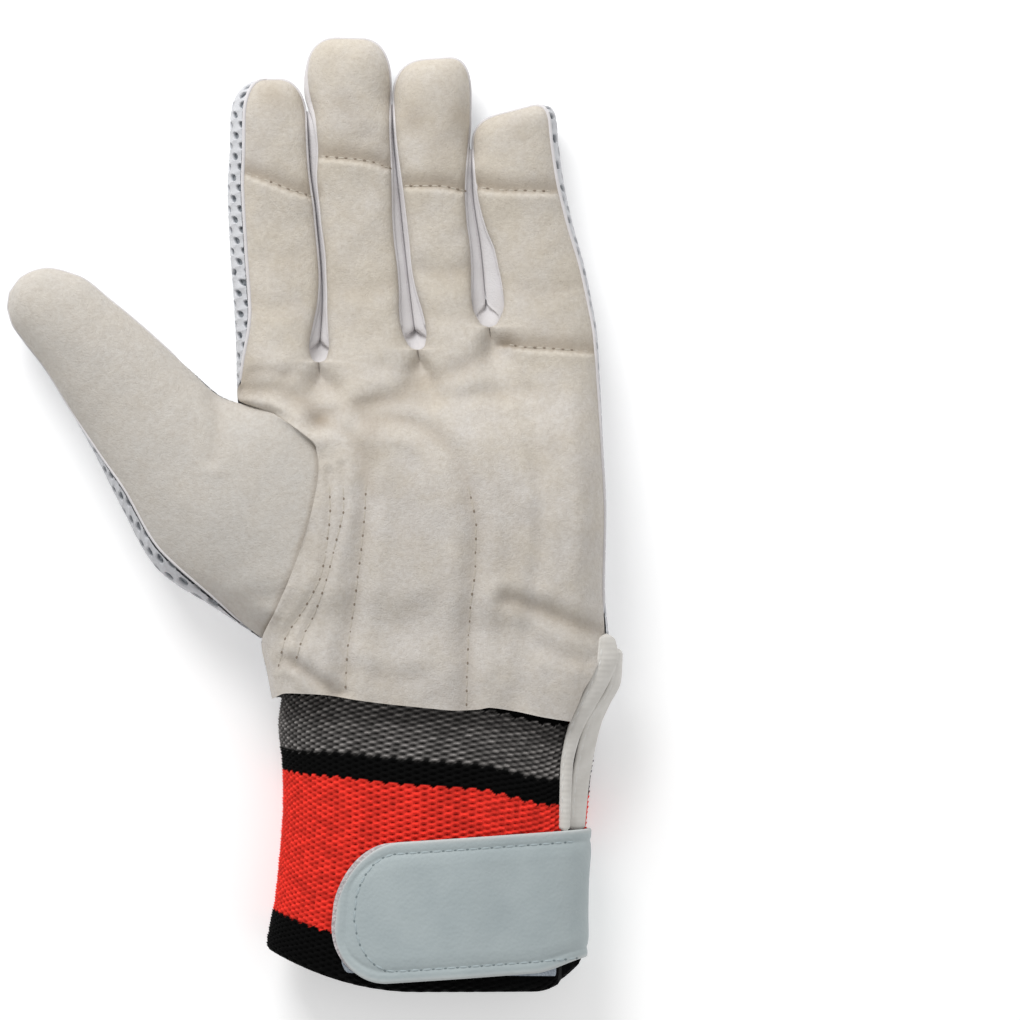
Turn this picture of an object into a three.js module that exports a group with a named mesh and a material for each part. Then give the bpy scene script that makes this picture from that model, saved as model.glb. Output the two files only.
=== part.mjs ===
// Wicketkeeping inner glove for the left hand, lying on its back with the palm up.
// Millimetres. X runs across the palm from the thumb to the little finger, Y towards the fingertips, Z up.
// The origin lies on the surface under the glove, in the middle of the space that it covers.
import * as THREE from 'three';

// Cloth and leather thicknesses
const CHAMOIS = 2.0;
const AIR_MESH = 2.0;
const JERSEY = 1.2;
const KNIT = 2.6;
const VINYL = 1.3;
const GAP = 0.3;

// Steps of the grids
const LOBE_STEPS = 5;
const THUMB_STEPS = 8;
const CUFF_STEPS = 26;
const CAP_STEPS = 4;
const FINGER_STEPS = 6;

// The length of the hand: the height of its middle, and how far palm and back stand from it
const BODY = [
  { y: -53, mid: 14.5, rise: 15.3, drop: 14.3 },
  { y: -40, mid: 14.5, rise: 16.4, drop: 14.3 },
  { y: -31, mid: 14.5, rise: 15.8, drop: 13.4 },
  { y: -20, mid: 14.5, rise: 17.8, drop: 12.2 },
  { y: 0, mid: 14.3, rise: 18.3, drop: 11.7 },
  { y: 20, mid: 13.5, rise: 17.2, drop: 10.9 },
  { y: 36, mid: 12.4, rise: 13.2, drop: 9.8 },
  { y: 46, mid: 11.5, rise: 12.2, drop: 8.9 },
  { y: 63, mid: 10.4, rise: 10.2, drop: 7.8 },
  { y: 71, mid: 10.0, rise: 9.7, drop: 9.0 },
  { y: 82, mid: 9.7, rise: 9.6, drop: 9.5 },
  { y: 138, mid: 9.5, rise: 9.2, drop: 9.3 },
];

// Left edge of the palm leather: wrist, seam over the ball of the thumb, fold of the web, side of the index
const PALM_LEFT = [
  { y: -53, x: -12.2 },
  { y: -45, x: -13.8 },
  { y: -38, x: -15.2 },
  { y: -28, x: -11.0 },
  { y: -19, x: -7.0 },
  { y: -7, x: -2.6 },
  { y: 4, x: 0.3 },
  { y: 13, x: 1.6 },
  { y: 19, x: 0.9 },
  { y: 24, x: -4.3 },
  { y: 29, x: -12.5 },
  { y: 33.5, x: -22.2 },
  { y: 40, x: -22.5 },
  { y: 49, x: -22.6 },
  { y: 62, x: -23.3 },
  { y: 77, x: -24.4 },
  { y: 95, x: -25.1 },
  { y: 106, x: -24.5 },
  { y: 138, x: -24.0 },
];

// Left edge of the mesh back, which runs straight down from the web to the wrist
const BACK_LEFT = [
  { y: -53, x: -12.2 },
  { y: -45, x: -13.8 },
  { y: -38, x: -15.2 },
  { y: 0, x: -18.5 },
  { y: 33.5, x: -22.2 },
  { y: 49, x: -22.6 },
  { y: 62, x: -23.3 },
  { y: 77, x: -24.4 },
  { y: 95, x: -25.1 },
  { y: 106, x: -24.5 },
  { y: 138, x: -24.0 },
];

// Right edge of both panels: the side of the little finger and of the palm, and the wider wrist below them
const HAND_RIGHT = [
  { y: -53, x: 83.4 },
  { y: -45, x: 86.2 },
  { y: -38, x: 87.4 },
  { y: -31, x: 85.6 },
  { y: -20, x: 84.3 },
  { y: 0, x: 84.7 },
  { y: 20, x: 83.8 },
  { y: 38, x: 82.9 },
  { y: 52, x: 82.1 },
  { y: 61, x: 80.6 },
  { y: 71, x: 78.6 },
  { y: 85, x: 74.8 },
  { y: 99, x: 71.9 },
  { y: 110, x: 70.4 },
  { y: 138, x: 69.4 },
];

// Lines between neighbouring fingers, carried on down the palm, with the ends of the slits on palm and back
const SLITS = [
  {
    palmEnd: 44,
    backEnd: 70,
    strip: 111,
    middle: [
      { y: -53, x: 10 },
      { y: 0, x: 19.5 },
      { y: 15, x: 16 },
      { y: 24, x: 9 },
      { y: 33, x: 3.4 },
      { y: 44, x: 1.5 },
      { y: 62, x: 2.4 },
      { y: 87, x: 0.6 },
      { y: 101, x: -1.2 },
      { y: 138, x: -3.0 },
    ],
  },
  {
    palmEnd: 47.6,
    backEnd: 66,
    strip: 113,
    middle: [
      { y: -53, x: 31 },
      { y: 0, x: 40 },
      { y: 24, x: 35 },
      { y: 48, x: 29.2 },
      { y: 62, x: 27.3 },
      { y: 90, x: 24.2 },
      { y: 113, x: 22 },
      { y: 138, x: 22 },
    ],
  },
  {
    palmEnd: 54.2,
    backEnd: 58.5,
    strip: 100,
    middle: [
      { y: -53, x: 52 },
      { y: 0, x: 62 },
      { y: 24, x: 59 },
      { y: 54, x: 50.8 },
      { y: 77, x: 48.4 },
      { y: 94, x: 46.1 },
      { y: 111, x: 45.6 },
      { y: 138, x: 46 },
    ],
  },
];

// Fingertips from index to little: where the sides start to close, the top, how square, leaning and slanted
const TIPS = [
  { shoulder: 114, tip: 126.1, square: 2.3, lean: 1.0, slant: 0 },
  { shoulder: 124, tip: 138.0, square: 2.5, lean: 0.3, slant: 0.02 },
  { shoulder: 118.5, tip: 132.1, square: 2.5, lean: 1.6, slant: 0.04 },
  { shoulder: 108, tip: 117.2, square: 3.4, lean: 1.2, slant: 0.26 },
];

// Half the width of a slit, by the distance from its end
const SLIT_HALF = [
  { y: 0, x: 0.35 },
  { y: 1.3, x: 2.0 },
  { y: 5, x: 3.0 },
  { y: 11, x: 2.4 },
  { y: 18, x: 1.3 },
  { y: 28, x: 0.6 },
  { y: 60, x: 0.5 },
];
// How high the finger panels start above and below the middle of a finger, as a share of its rise or drop
const SLIT_SHARE = 0.5;
// Angles from the side of the hand at which the panels end: where the mesh comes round the index finger,
// where the leather and the mesh meet on the little-finger edge, and the two lips of the slit at the wrist
const EDGE_TURN = [
  { y: -53, index: 0.12, palmLittle: 1.16, backLittle: -0.06 },
  { y: -45, index: 0.12, palmLittle: 1.15, backLittle: -0.06 },
  { y: -38, index: 0.12, palmLittle: 0.93, backLittle: -0.04 },
  { y: -31, index: 0.2, palmLittle: 0.44, backLittle: 0.34 },
  { y: -20, index: 0.3, palmLittle: 0.28, backLittle: 0.28 },
  { y: 34, index: 0.4, palmLittle: 0.3, backLittle: 0.3 },
  { y: 60, index: 0.85, palmLittle: 0.35, backLittle: 0.35 },
  { y: 120, index: 0.85, palmLittle: 0.55, backLittle: 0.55 },
  { y: 138, index: 0.5, palmLittle: 0.4, backLittle: 0.4 },
];

// Rows of the palm and the back, then those past the ends of the slits, up to where all fingers are free
const HAND_ROWS = [-53, -46, -38, -31, -22, -10, 3, 13, 19, 24, 29, 33.5, 39];
const PALM_SLIT_ROWS = [44, 45.3, 47.6, 48.9, 54.2, 55.5, 60, 67, 75];
const BACK_SLIT_ROWS = [46, 54, 58.5, 59.8, 66, 67.3, 70, 71.3, 75];
const FREE_LEVEL = 75;
// The hems fall away from a point near the thumb's side towards the little finger
const HEM_FALL = 0.095;
const HEM_X = -12;
const HEM_LEVELS = { from: -8, to: -50 };

// The palm swells over its middle, and the two faces have differently flattened sections
const CROWN = { height: 2.4, x: 32, reach: 60, from: 52, to: 10 };
const PALM_FULLNESS = 0.82;
const BACK_FULLNESS = 0.6;
// Below the end of a slit the lobes grow together over these lengths, and past its strip the edges sink
const GROWN_PALM = 24;
const GROWN_BACK = 14;
const STRIP_FADE = 9;
// Where the web and the wrist part the hand from the thumb
const WEB = { top: 35, palm: 24, back: 30 };
const THUMB_FOOT = { from: -40, to: -28 };
// Angle left free along the seam between leather and mesh, and how a fingertip narrows
const SEAM_ANGLE = 0.035;
const TIP_TURN = 0.9;
const TIP_FLATNESS = 0.7;
const SLANT_LEVELS = { from: 96, to: 112 };

// Thumb sections from the base to the tip: ends on the lower and upper outline, for palm side and back
const THUMB = [
  {
    lowX: -16.2, lowY: -36, palmX: -5.2, palmY: 24.2, backX: -22.4, backY: 32.2,
    mid: 14.5, rise: 16.8, drop: 12.5, turn: 0,
  },
  {
    lowX: -28.7, lowY: -27.3, palmX: -13, palmY: 29.8, backX: -24.5, backY: 33,
    mid: 14.3, rise: 16.6, drop: 12.8, turn: 0.35,
  },
  {
    lowX: -45.5, lowY: -15.7, palmX: -26.5, palmY: 33.8, backX: -27.5, backY: 34.4,
    mid: 13.8, rise: 14.8, drop: 13.0, turn: 0.6,
  },
  {
    lowX: -55.5, lowY: 1.5, palmX: -36, palmY: 41.8, backX: -36, backY: 41.8,
    mid: 13.4, rise: 13.2, drop: 12.9, turn: 0.6,
  },
  {
    lowX: -64.1, lowY: 18.6, palmX: -47.6, palmY: 52.5, backX: -47.6, backY: 52.5,
    mid: 13, rise: 12.2, drop: 12.7, turn: 0.35,
  },
  {
    lowX: -71.5, lowY: 31.5, palmX: -58.5, palmY: 61.6, backX: -58.5, backY: 61.6,
    mid: 12.7, rise: 11.6, drop: 12.4, turn: 0.15,
  },
  {
    lowX: -78, lowY: 42.3, palmX: -68.4, palmY: 69, backX: -68.4, backY: 69,
    mid: 12.4, rise: 11.2, drop: 11.8, turn: 0.05,
  },
  {
    lowX: -83.8, lowY: 49.9, palmX: -77.5, palmY: 71.3, backX: -77.5, backY: 71.3,
    mid: 12.1, rise: 9.8, drop: 10, turn: 0.05,
  },
  {
    lowX: -87.6, lowY: 55.5, palmX: -84.5, palmY: 69, backX: -84.5, backY: 69,
    mid: 12, rise: 6.6, drop: 6.8, turn: 0.05,
  },
  {
    lowX: -88.9, lowY: 60, palmX: -88.3, palmY: 64.4, backX: -88.3, backY: 64.4,
    mid: 12, rise: 0.8, drop: 0.8, turn: 0,
  },
];
const THUMB_ROOTS = 2;
const THUMB_STEPS_A_ROW = 1.5;
const THUMB_FULLNESS = 0.8;
// The thumb lies a little below the edge of the hand, and its tip is drawn in over its last sections
const THUMB_INSET = 0.8;
const THUMB_PALM = { step: 1.2, lift: 0.9 };
const THUMB_BACK = { step: 0.6, lift: 0.2 };
const THUMB_SEAM_ANGLE = 0.03;
const THUMB_LEAST = { inset: 0.3, reach: 0.02 };
const THUMB_TIP = { from: 7.2, flat: 7.6, to: 9, x: 0.8, y: -0.55 };

// Knitted cuff from its top edge, inside the hand, to its lower edge
const CUFF = [
  { v: 0, left: -9.0, right: 81.2, mid: 14.5, rise: 12.4, drop: 11.8 },
  { v: 0.1, left: -9.2, right: 81.2, mid: 14.6, rise: 12.5, drop: 11.9 },
  { v: 0.2, left: -10.1, right: 81.4, mid: 15.0, rise: 13.6, drop: 14.0 },
  { v: 0.33, left: -9.0, right: 79.8, mid: 15.2, rise: 14.4, drop: 15.2 },
  { v: 0.47, left: -8.7, right: 78.6, mid: 15.3, rise: 14.8, drop: 15.3 },
  { v: 0.64, left: -9.6, right: 77.8, mid: 15.3, rise: 14.9, drop: 15.3 },
  { v: 0.8, left: -10.9, right: 77.6, mid: 15.3, rise: 14.9, drop: 15.3 },
  { v: 0.9, left: -12.4, right: 77.6, mid: 15.3, rise: 14.9, drop: 15.3 },
  { v: 1, left: -13.6, right: 77.6, mid: 15.3, rise: 14.8, drop: 15.3 },
];
const CUFF_TOP = -44;
const CUFF_END = -138;
// Angles round the cuff, from its left side over the palm, of the two edges of the slit
const SLIT_PALM = 2.5;
const SLIT_BACK = 3.2;
const CUFF_ROWS = 9;
// The lower edge of the cuff rises in a curve towards its left and its right side
const CUFF_LEFT_RISE = { x: 30, reach: 43, height: 12 };
const CUFF_RIGHT_RISE = { x: 64, reach: 14, height: 9 };
const CUFF_PALM_FULLNESS = 0.78;
const CUFF_BACK_FULLNESS = 0.6;

// Strips that bind the two lips of the slit: the middle of each, and how steeply it faces outwards
const BINDING = { width: 4.2, thick: 2.2, bow: 0.4, rows: 12 };
const PALM_BINDING = [
  { y: -37, x: 85.7, z: 21.0, tilt: 1.05 },
  { y: -43, x: 84.4, z: 22.6, tilt: 0.95 },
  { y: -50, x: 80.8, z: 23.6, tilt: 0.8 },
  { y: -60, x: 77.2, z: 23.4, tilt: 0.75 },
  { y: -71, x: 74.2, z: 23.2, tilt: 0.7 },
  { y: -80, x: 73.1, z: 23.0, tilt: 0.7 },
  { y: -90, x: 72.7, z: 22.8, tilt: 0.7 },
];
const BACK_BINDING = [
  { y: -39, x: 87.6, z: 15.4, tilt: 1.5 },
  { y: -48, x: 87.2, z: 16.0, tilt: 1.4 },
  { y: -55, x: 84.4, z: 16.3, tilt: 1.3 },
  { y: -63, x: 81.8, z: 16.4, tilt: 1.3 },
  { y: -71, x: 79.7, z: 16.8, tilt: 1.25 },
  { y: -80, x: 78.2, z: 17.0, tilt: 1.2 },
  { y: -90, x: 77.2, z: 17.2, tilt: 1.2 },
];

// Closing strap: across the palm side, round the little-finger edge and a little way onto the back
const STRAP = {
  start: 8.6,
  backX: 64,
  round: 15.5,
  roundBack: 6,
  half: 20.3,
  level: -115.2,
  levelX: 20,
  slope: 0.065,
  steps: 22,
};
// Where the strap lies over the cuff's length, and how far it stands off the knit
const STRAP_V = 0.78;
const ON_HOOKS = 2.5;
const ON_LOOPS = 1.5;
const ON_KNIT = 0.4;
const HOOKS = { past: 0.6, to: 42, short: 2, wider: 0.3, face: 2.2, thick: 0.9, fade: 16, steps: 9 };
// Loop tape: a straight piece under the strap that shows below it at both ends
const LOOPS = {
  from: 9,
  to: 69.5,
  half: 10.3,
  level: -122.3,
  levelX: 20,
  slope: -0.018,
  face: 1.1,
  thick: 0.8,
  round: 3.5,
  fade: 7,
  steps: 12,
};
const BAND = { columns: 6, crowding: 0.9, narrowStart: 0.03, narrowEnd: 0.2, squareEnd: 1, rounds: 3 };

// Round badge on its sewn backing
const BADGE = { x: 42, y: 25, backing: 35, face: 30, thick: 1.0, bevel: 0.3, sides: 40 };

// Jersey strips: steps along a leg and round half the bend, the bend's radius, slack at the seams, and how
// far inside the slit's ends and past its top they stop
const STRIP = { legs: 7, bend: 4, levels: 3, round: 4, slack: 0.45, palmIn: 0.6, backIn: 0.4, past: 1 };

const COLOURS = {
  chamois: 0xd6ccba,
  mesh: 0xdfe3e6,
  jersey: 0xf1f1ef,
  knit: 0xe8452f,
  vinyl: 0xaab4b6,
  loops: 0xb9c1c6,
  badge: 0xef5c38,
  backing: 0xf4f4f2,
};
// Roughness of each finish
const FINISH = { chamois: 0.95, mesh: 0.8, jersey: 0.85, knit: 0.9, vinyl: 0.55, badge: 0.3 };

const clamp01 = (t) => Math.min(1, Math.max(0, t));
const mix = (a, b, t) => a + (b - a) * t;
const smooth = (a, b, t) => {
  const s = clamp01((t - a) / (b - a));
  return s * s * (3 - 2 * s);
};

// A smooth curve through one column of a table, over the column that places its rows
function track(rows, column, over = 'y') {
  const at = rows.map((row) => row[over]);
  const value = rows.map((row) => row[column]);
  const chord = at.slice(1).map((a, i) => (value[i + 1] - value[i]) / (a - at[i]));
  const slope = at.map((_, i) => {
    if (i === 0 || i === at.length - 1) return chord[Math.min(i, chord.length - 1)];
    return chord[i - 1] * chord[i] <= 0 ? 0 : (2 * chord[i - 1] * chord[i]) / (chord[i - 1] + chord[i]);
  });
  return (t) => {
    if (t <= at[0]) return value[0];
    if (t >= at.at(-1)) return value.at(-1);
    const i = at.findIndex((a) => a > t) - 1;
    const h = at[i + 1] - at[i];
    const s = (t - at[i]) / h;
    const rise = value[i + 1] - value[i];
    const a = slope[i] * h;
    const b = slope[i + 1] * h;
    return value[i] + s * (a + s * (3 * rise - 2 * a - b + s * (a + b - 2 * rise)));
  };
}

const bodyMid = track(BODY, 'mid');
const bodyRise = track(BODY, 'rise');
const bodyDrop = track(BODY, 'drop');
const palmLeft = track(PALM_LEFT, 'x');
const backLeft = track(BACK_LEFT, 'x');
const handRight = track(HAND_RIGHT, 'x');
const slitHalf = track(SLIT_HALF, 'x');
const indexTurn = track(EDGE_TURN, 'index');
const slitMiddles = SLITS.map((slit) => track(slit.middle, 'x'));

// One closed solid from a sheet: its cells are loops of corner numbers, its corners have an outer and an
// inner point, and walls along the free edges join the two faces.
function sheetSolid(cells, outer, inner) {
  const used = new Map();
  const triangles = [];
  const loops = cells.flatMap(([a, b, c, d]) => [[a, b, c], [a, c, d]]);
  for (const loop of loops) {
    loop.forEach((a, i) => used.set(`${a}_${loop[(i + 1) % 3]}`, [a, loop[(i + 1) % 3]]));
    triangles.push(loop, [loop[2], loop[1], loop[0]].map((corner) => corner + outer.length));
  }
  for (const [a, b] of used.values()) {
    if (used.has(`${b}_${a}`)) continue;
    triangles.push([b, a, a + outer.length], [b, a + outer.length, b + outer.length]);
  }
  const points = [...outer, ...inner];
  const volume = triangles.reduce((sum, [a, b, c]) => {
    return sum + points[a].dot(new THREE.Vector3().crossVectors(points[b], points[c]));
  }, 0);
  if (volume < 0) triangles.forEach((triangle) => triangle.reverse());
  const geometry = new THREE.BufferGeometry();
  geometry.setAttribute('position', new THREE.Float32BufferAttribute(points.flatMap((p) => p.toArray()), 3));
  geometry.setIndex(triangles.flat());
  return geometry;
}

// A sheet on one rectangular grid: point(row, column, depth) gives its faces at depth 0 and at its thickness
function gridSolid(rows, columns, thickness, point) {
  const cells = [];
  const corners = [];
  for (let r = 0; r <= rows; r += 1) {
    for (let c = 0; c <= columns; c += 1) {
      corners.push([r / rows, c / columns]);
      if (r === rows || c === columns) continue;
      const first = r * (columns + 1) + c;
      cells.push([first, first + 1, first + columns + 2, first + columns + 1]);
    }
  }
  const face = (depth) => corners.map(([row, column]) => point(row, column, depth));
  return sheetSolid(cells, face(0), face(thickness));
}

// Palm side and back of the hand are each four lobes wide. Below the end of a slit the lobes are joined,
// above it each is a finger of its own.
const SIDES = {
  palm: {
    sign: 1,
    left: palmLeft,
    little: track(EDGE_TURN, 'palmLittle'),
    end: 'palmEnd',
    rows: PALM_SLIT_ROWS,
    grown: GROWN_PALM,
    web: WEB.palm,
    thumb: THUMB_PALM,
  },
  back: {
    sign: -1,
    left: backLeft,
    little: track(EDGE_TURN, 'backLittle'),
    end: 'backEnd',
    rows: BACK_SLIT_ROWS,
    grown: GROWN_BACK,
    web: WEB.back,
    thumb: THUMB_BACK,
  },
};

// How high the edge of a panel stands beside a slit, as a share of its rise: low in the slit, level with
// the panel once the lobes have grown together, and nothing near the fingertips
function slitEdge(side, slit, y) {
  const end = SLITS[slit][side.end];
  const below = smooth(end, end - side.grown, y);
  const tip = smooth(SLITS[slit].strip, SLITS[slit].strip + STRIP_FADE, y);
  return mix(SLIT_SHARE * (1 - tip), 1, below);
}

// How far the hand's thumb edge is joined to the thumb: nothing beside the index finger and at the wrist
const thumbJoin = (side, y) => smooth(WEB.top, side.web, y) * smooth(THUMB_FOOT.from, THUMB_FOOT.to, y);

// A point of the hand. angle runs from 0 at the lobe's left side over its middle to PI at its right side,
// and past those it comes round onto the other face.
function handPoint(side, lobe, row, angle, depth) {
  const tip = TIPS[lobe];
  const turn = ((row.cap ?? 0) * Math.PI) / 2;
  const rounding = 2 / tip.square;
  const y = row.y ?? tip.shoulder + (tip.tip - tip.shoulder - depth) * Math.sin(turn) ** rounding;
  const slitGap = (slit) => (y < SLITS[slit][side.end] ? 0 : slitHalf(y - SLITS[slit][side.end]) + depth);
  const outerLeft = side.left(y) + depth * (1 - thumbJoin(side, y));
  const leftEnd = lobe === 0 ? outerLeft : slitMiddles[lobe - 1](y) + slitGap(lobe - 1);
  const rightEnd = lobe === 3 ? handRight(y) - depth : slitMiddles[lobe](y) - slitGap(lobe);
  const narrowing = Math.cos(turn * TIP_TURN) ** rounding;
  const centre = (leftEnd + rightEnd) / 2 + tip.lean * (1 - narrowing);
  const half = ((rightEnd - leftEnd) / 2) * narrowing;
  const x = centre - half * Math.cos(angle);
  const over = Math.sin(angle) >= 0 ? side.sign : -side.sign;
  const reach = (over > 0 ? bodyRise(y) : bodyDrop(y)) - depth;
  const swell = 1 - ((mix(leftEnd, rightEnd, 0.5) - CROWN.x) / CROWN.reach) ** 2;
  const crown = over > 0 ? CROWN.height * swell * smooth(CROWN.from, CROWN.to, y) : 0;
  const bend = Math.abs(Math.sin(angle)) ** (over > 0 ? PALM_FULLNESS : BACK_FULLNESS);
  const leftLift = lobe === 0 ? thumbJoin(side, y) : slitEdge(side, lobe - 1, y);
  const rightLift = lobe === 3 ? 0 : slitEdge(side, lobe, y);
  const lift = mix(leftLift, rightLift, smooth(0, Math.PI, angle));
  const height = (reach + crown) * (bend + (1 - bend) * lift) * Math.cos(turn) ** TIP_FLATNESS;
  const fall = HEM_FALL * (x - HEM_X) * smooth(HEM_LEVELS.from, HEM_LEVELS.to, y);
  const slanted = tip.slant * (x - centre) * smooth(SLANT_LEVELS.from, SLANT_LEVELS.to, y);
  return new THREE.Vector3(x, y - fall + slanted, bodyMid(y) + over * (height + GAP / 2));
}

// Angles where a lobe's panel starts and stops: the mesh comes round the outer sides to meet the leather
function lobeAngles(side, lobe, y) {
  const wrapped = thumbJoin(side, y) > 0 ? 0 : indexTurn(y);
  const first = lobe === 0 ? side.sign * wrapped + SEAM_ANGLE : 0;
  const last = lobe === 3 ? side.sign * side.little(y) + SEAM_ANGLE : 0;
  return [first, Math.PI - last];
}

function handPanel(side, thickness) {
  const rows = [...HAND_ROWS, ...side.rows].map((y) => ({ y }));
  const corners = [];
  const cells = [];
  const numbers = new Map();
  const number = (lobe, step, row, key) => {
    const shared = step === 0 && lobe > 0 && row.y <= SLITS[lobe - 1][side.end];
    const name = shared ? `${lobe - 1}_${LOBE_STEPS}_${key}` : `${lobe}_${step}_${key}`;
    if (!numbers.has(name)) {
      numbers.set(name, corners.length);
      corners.push({ lobe, step, row });
    }
    return numbers.get(name);
  };
  for (let lobe = 0; lobe < TIPS.length; lobe += 1) {
    const { shoulder } = TIPS[lobe];
    const free = Array.from({ length: FINGER_STEPS }, (_, i) => {
      return { y: mix(FREE_LEVEL, shoulder, (i + 1) / FINGER_STEPS) };
    });
    const cap = Array.from({ length: CAP_STEPS }, (_, i) => ({ cap: (i + 1) / CAP_STEPS }));
    const all = [...rows, ...free, ...cap];
    for (let r = 1; r < all.length; r += 1) {
      for (let step = 0; step < LOBE_STEPS; step += 1) {
        const low = [number(lobe, step, all[r - 1], r - 1), number(lobe, step + 1, all[r - 1], r - 1)];
        const high = [number(lobe, step + 1, all[r], r), number(lobe, step, all[r], r)];
        cells.push([...low, ...high]);
      }
    }
  }
  const face = (depth) =>
    corners.map(({ lobe, step, row }) => {
      const [first, last] = lobeAngles(side, lobe, row.y ?? TIPS[lobe].tip);
      return handPoint(side, lobe, row, mix(first, last, step / LOBE_STEPS), depth);
    });
  return sheetSolid(cells, face(0), face(thickness));
}

const thumbRows = THUMB.map((row, s) => ({ ...row, s }));
const thumbColumns = Object.keys(THUMB[0]);
const thumb = Object.fromEntries(thumbColumns.map((column) => [column, track(thumbRows, column, 's')]));

// Half of the thumb. share runs from the base to the tip, t round from the lower outline to the upper one.
function thumbPoint(side, share, t, depth) {
  const s = share * (THUMB.length - 1);
  const [highX, highY] = side.sign > 0 ? ['palmX', 'palmY'] : ['backX', 'backY'];
  const low = new THREE.Vector2(thumb.lowX(s), thumb.lowY(s));
  const high = new THREE.Vector2(thumb[highX](s), thumb[highY](s));
  const across = high.clone().sub(low).normalize();
  const joined = 1 - smooth(0, THUMB_ROOTS, s);
  low.addScaledVector(across, Math.min(depth, low.distanceTo(high) * THUMB_LEAST.inset));
  high.addScaledVector(across, -Math.min(depth, low.distanceTo(high) * THUMB_LEAST.inset) * (1 - joined));
  const angle = mix(side.sign * thumb.turn(s) + THUMB_SEAM_ANGLE, Math.PI, t);
  const along = (1 - Math.cos(angle)) / 2;
  const at = low.clone().lerp(high, along);
  const root = clamp01(1 - s / THUMB_ROOTS) ** 2;
  const seamY = mix(THUMB[0].lowY, THUMB[0][highY], along);
  const seamX = side.left(seamY) - THUMB_INSET;
  at.x += root * (seamX - mix(THUMB[0].lowX, THUMB[0][highX], along));
  const over = Math.sin(angle) >= 0 ? side.sign : -side.sign;
  const full = (over > 0 ? thumb.rise(s) : thumb.drop(s)) - depth * smooth(THUMB_TIP.to, THUMB_TIP.flat, s);
  const bend = Math.abs(Math.sin(angle)) ** (over > 0 ? THUMB_FULLNESS : BACK_FULLNESS);
  const lift = Math.max(0, -Math.cos(angle)) * joined * side.thumb.lift;
  const height = Math.max(THUMB_LEAST.reach, full) * (bend + (1 - bend) * lift);
  const own = thumb.mid(s) + over * (height + GAP / 2);
  const handEdge = handPoint(side, 0, { y: seamY }, lobeAngles(side, 0, seamY)[0], depth);
  const z = mix(own, handEdge.z - side.sign * side.thumb.step, root);
  const inward = depth * smooth(THUMB_TIP.from, THUMB_TIP.to, s);
  return new THREE.Vector3(at.x + inward * THUMB_TIP.x, at.y + inward * THUMB_TIP.y, z);
}

function thumbPanel(side, thickness) {
  const rows = Math.round((THUMB.length - 1) * THUMB_STEPS_A_ROW);
  return gridSolid(rows, THUMB_STEPS, thickness, (row, column, depth) => {
    return thumbPoint(side, row, column, depth);
  });
}

// A jersey strip between two fingers: a U seen from above, whose bottom slopes from palm to back
function fourchette(slit) {
  const { palmEnd, backEnd, strip } = SLITS[slit];
  const half = STRIP.legs + STRIP.bend;
  return gridSolid(2 * half, STRIP.levels, JERSEY, (path, level, depth) => {
    const step = path * 2 * half - half;
    const bottom = mix(palmEnd + STRIP.palmIn, backEnd - STRIP.backIn, level);
    const steps = Math.abs(step);
    const inBend = steps <= STRIP.bend;
    const turned = clamp01(steps / STRIP.bend) * (Math.PI / 2);
    const leg = clamp01((steps - STRIP.bend) / STRIP.legs);
    const legY = mix(bottom + STRIP.round, strip + STRIP.past, leg);
    const y = inBend ? bottom + STRIP.round - (STRIP.round + depth) * Math.cos(turned) : legY;
    const width = inBend ? Math.sin(turned) * slitHalf(STRIP.round) : slitHalf(legY - bottom);
    const out = width + depth * (inBend ? Math.sin(turned) : 1);
    const measured = Math.max(y, palmEnd);
    const edge = SLIT_SHARE * (1 - smooth(strip, strip + STRIP_FADE, measured));
    const top = bodyMid(y) + (bodyRise(measured) - CHAMOIS) * edge - STRIP.slack;
    const low = bodyMid(y) - (bodyDrop(measured) - AIR_MESH) * edge + STRIP.slack;
    return new THREE.Vector3(slitMiddles[slit](y) + Math.sign(step) * out, y, mix(top, low, level));
  });
}

const cuffLeft = track(CUFF, 'left', 'v');
const cuffRight = track(CUFF, 'right', 'v');
const cuffMid = track(CUFF, 'mid', 'v');
const cuffRise = track(CUFF, 'rise', 'v');
const cuffDrop = track(CUFF, 'drop', 'v');

// Lower edge of the cuff and the line of its top edge, over x
function cuffLowerY(x) {
  const left = CUFF_LEFT_RISE.height * Math.max(0, (CUFF_LEFT_RISE.x - x) / CUFF_LEFT_RISE.reach) ** 2;
  const right = CUFF_RIGHT_RISE.height * Math.max(0, (x - CUFF_RIGHT_RISE.x) / CUFF_RIGHT_RISE.reach) ** 2;
  return CUFF_END + left + right;
}

const cuffUpperY = (x) => CUFF_TOP - HEM_FALL * (x - HEM_X);

// A point out from the cuff's surface. v runs from its top edge to its lower edge, angle as on the hand.
function cuffPoint(v, angle, out) {
  const left = cuffLeft(v) - out;
  const right = cuffRight(v) + out;
  const over = Math.sin(angle) >= 0 ? 1 : -1;
  const reach = (over > 0 ? cuffRise(v) : cuffDrop(v)) + out;
  const x = mix(left, right, (1 - Math.cos(angle)) / 2);
  const fullness = over > 0 ? CUFF_PALM_FULLNESS : CUFF_BACK_FULLNESS;
  const z = cuffMid(v) + over * reach * Math.abs(Math.sin(angle)) ** fullness;
  return new THREE.Vector3(x, mix(cuffUpperY(x), cuffLowerY(x), v), z);
}

function knittedCuff() {
  return gridSolid(CUFF_ROWS, CUFF_STEPS, KNIT, (v, share, depth) => {
    return cuffPoint(v, mix(SLIT_PALM, SLIT_BACK - 2 * Math.PI, share), -depth);
  });
}

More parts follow.
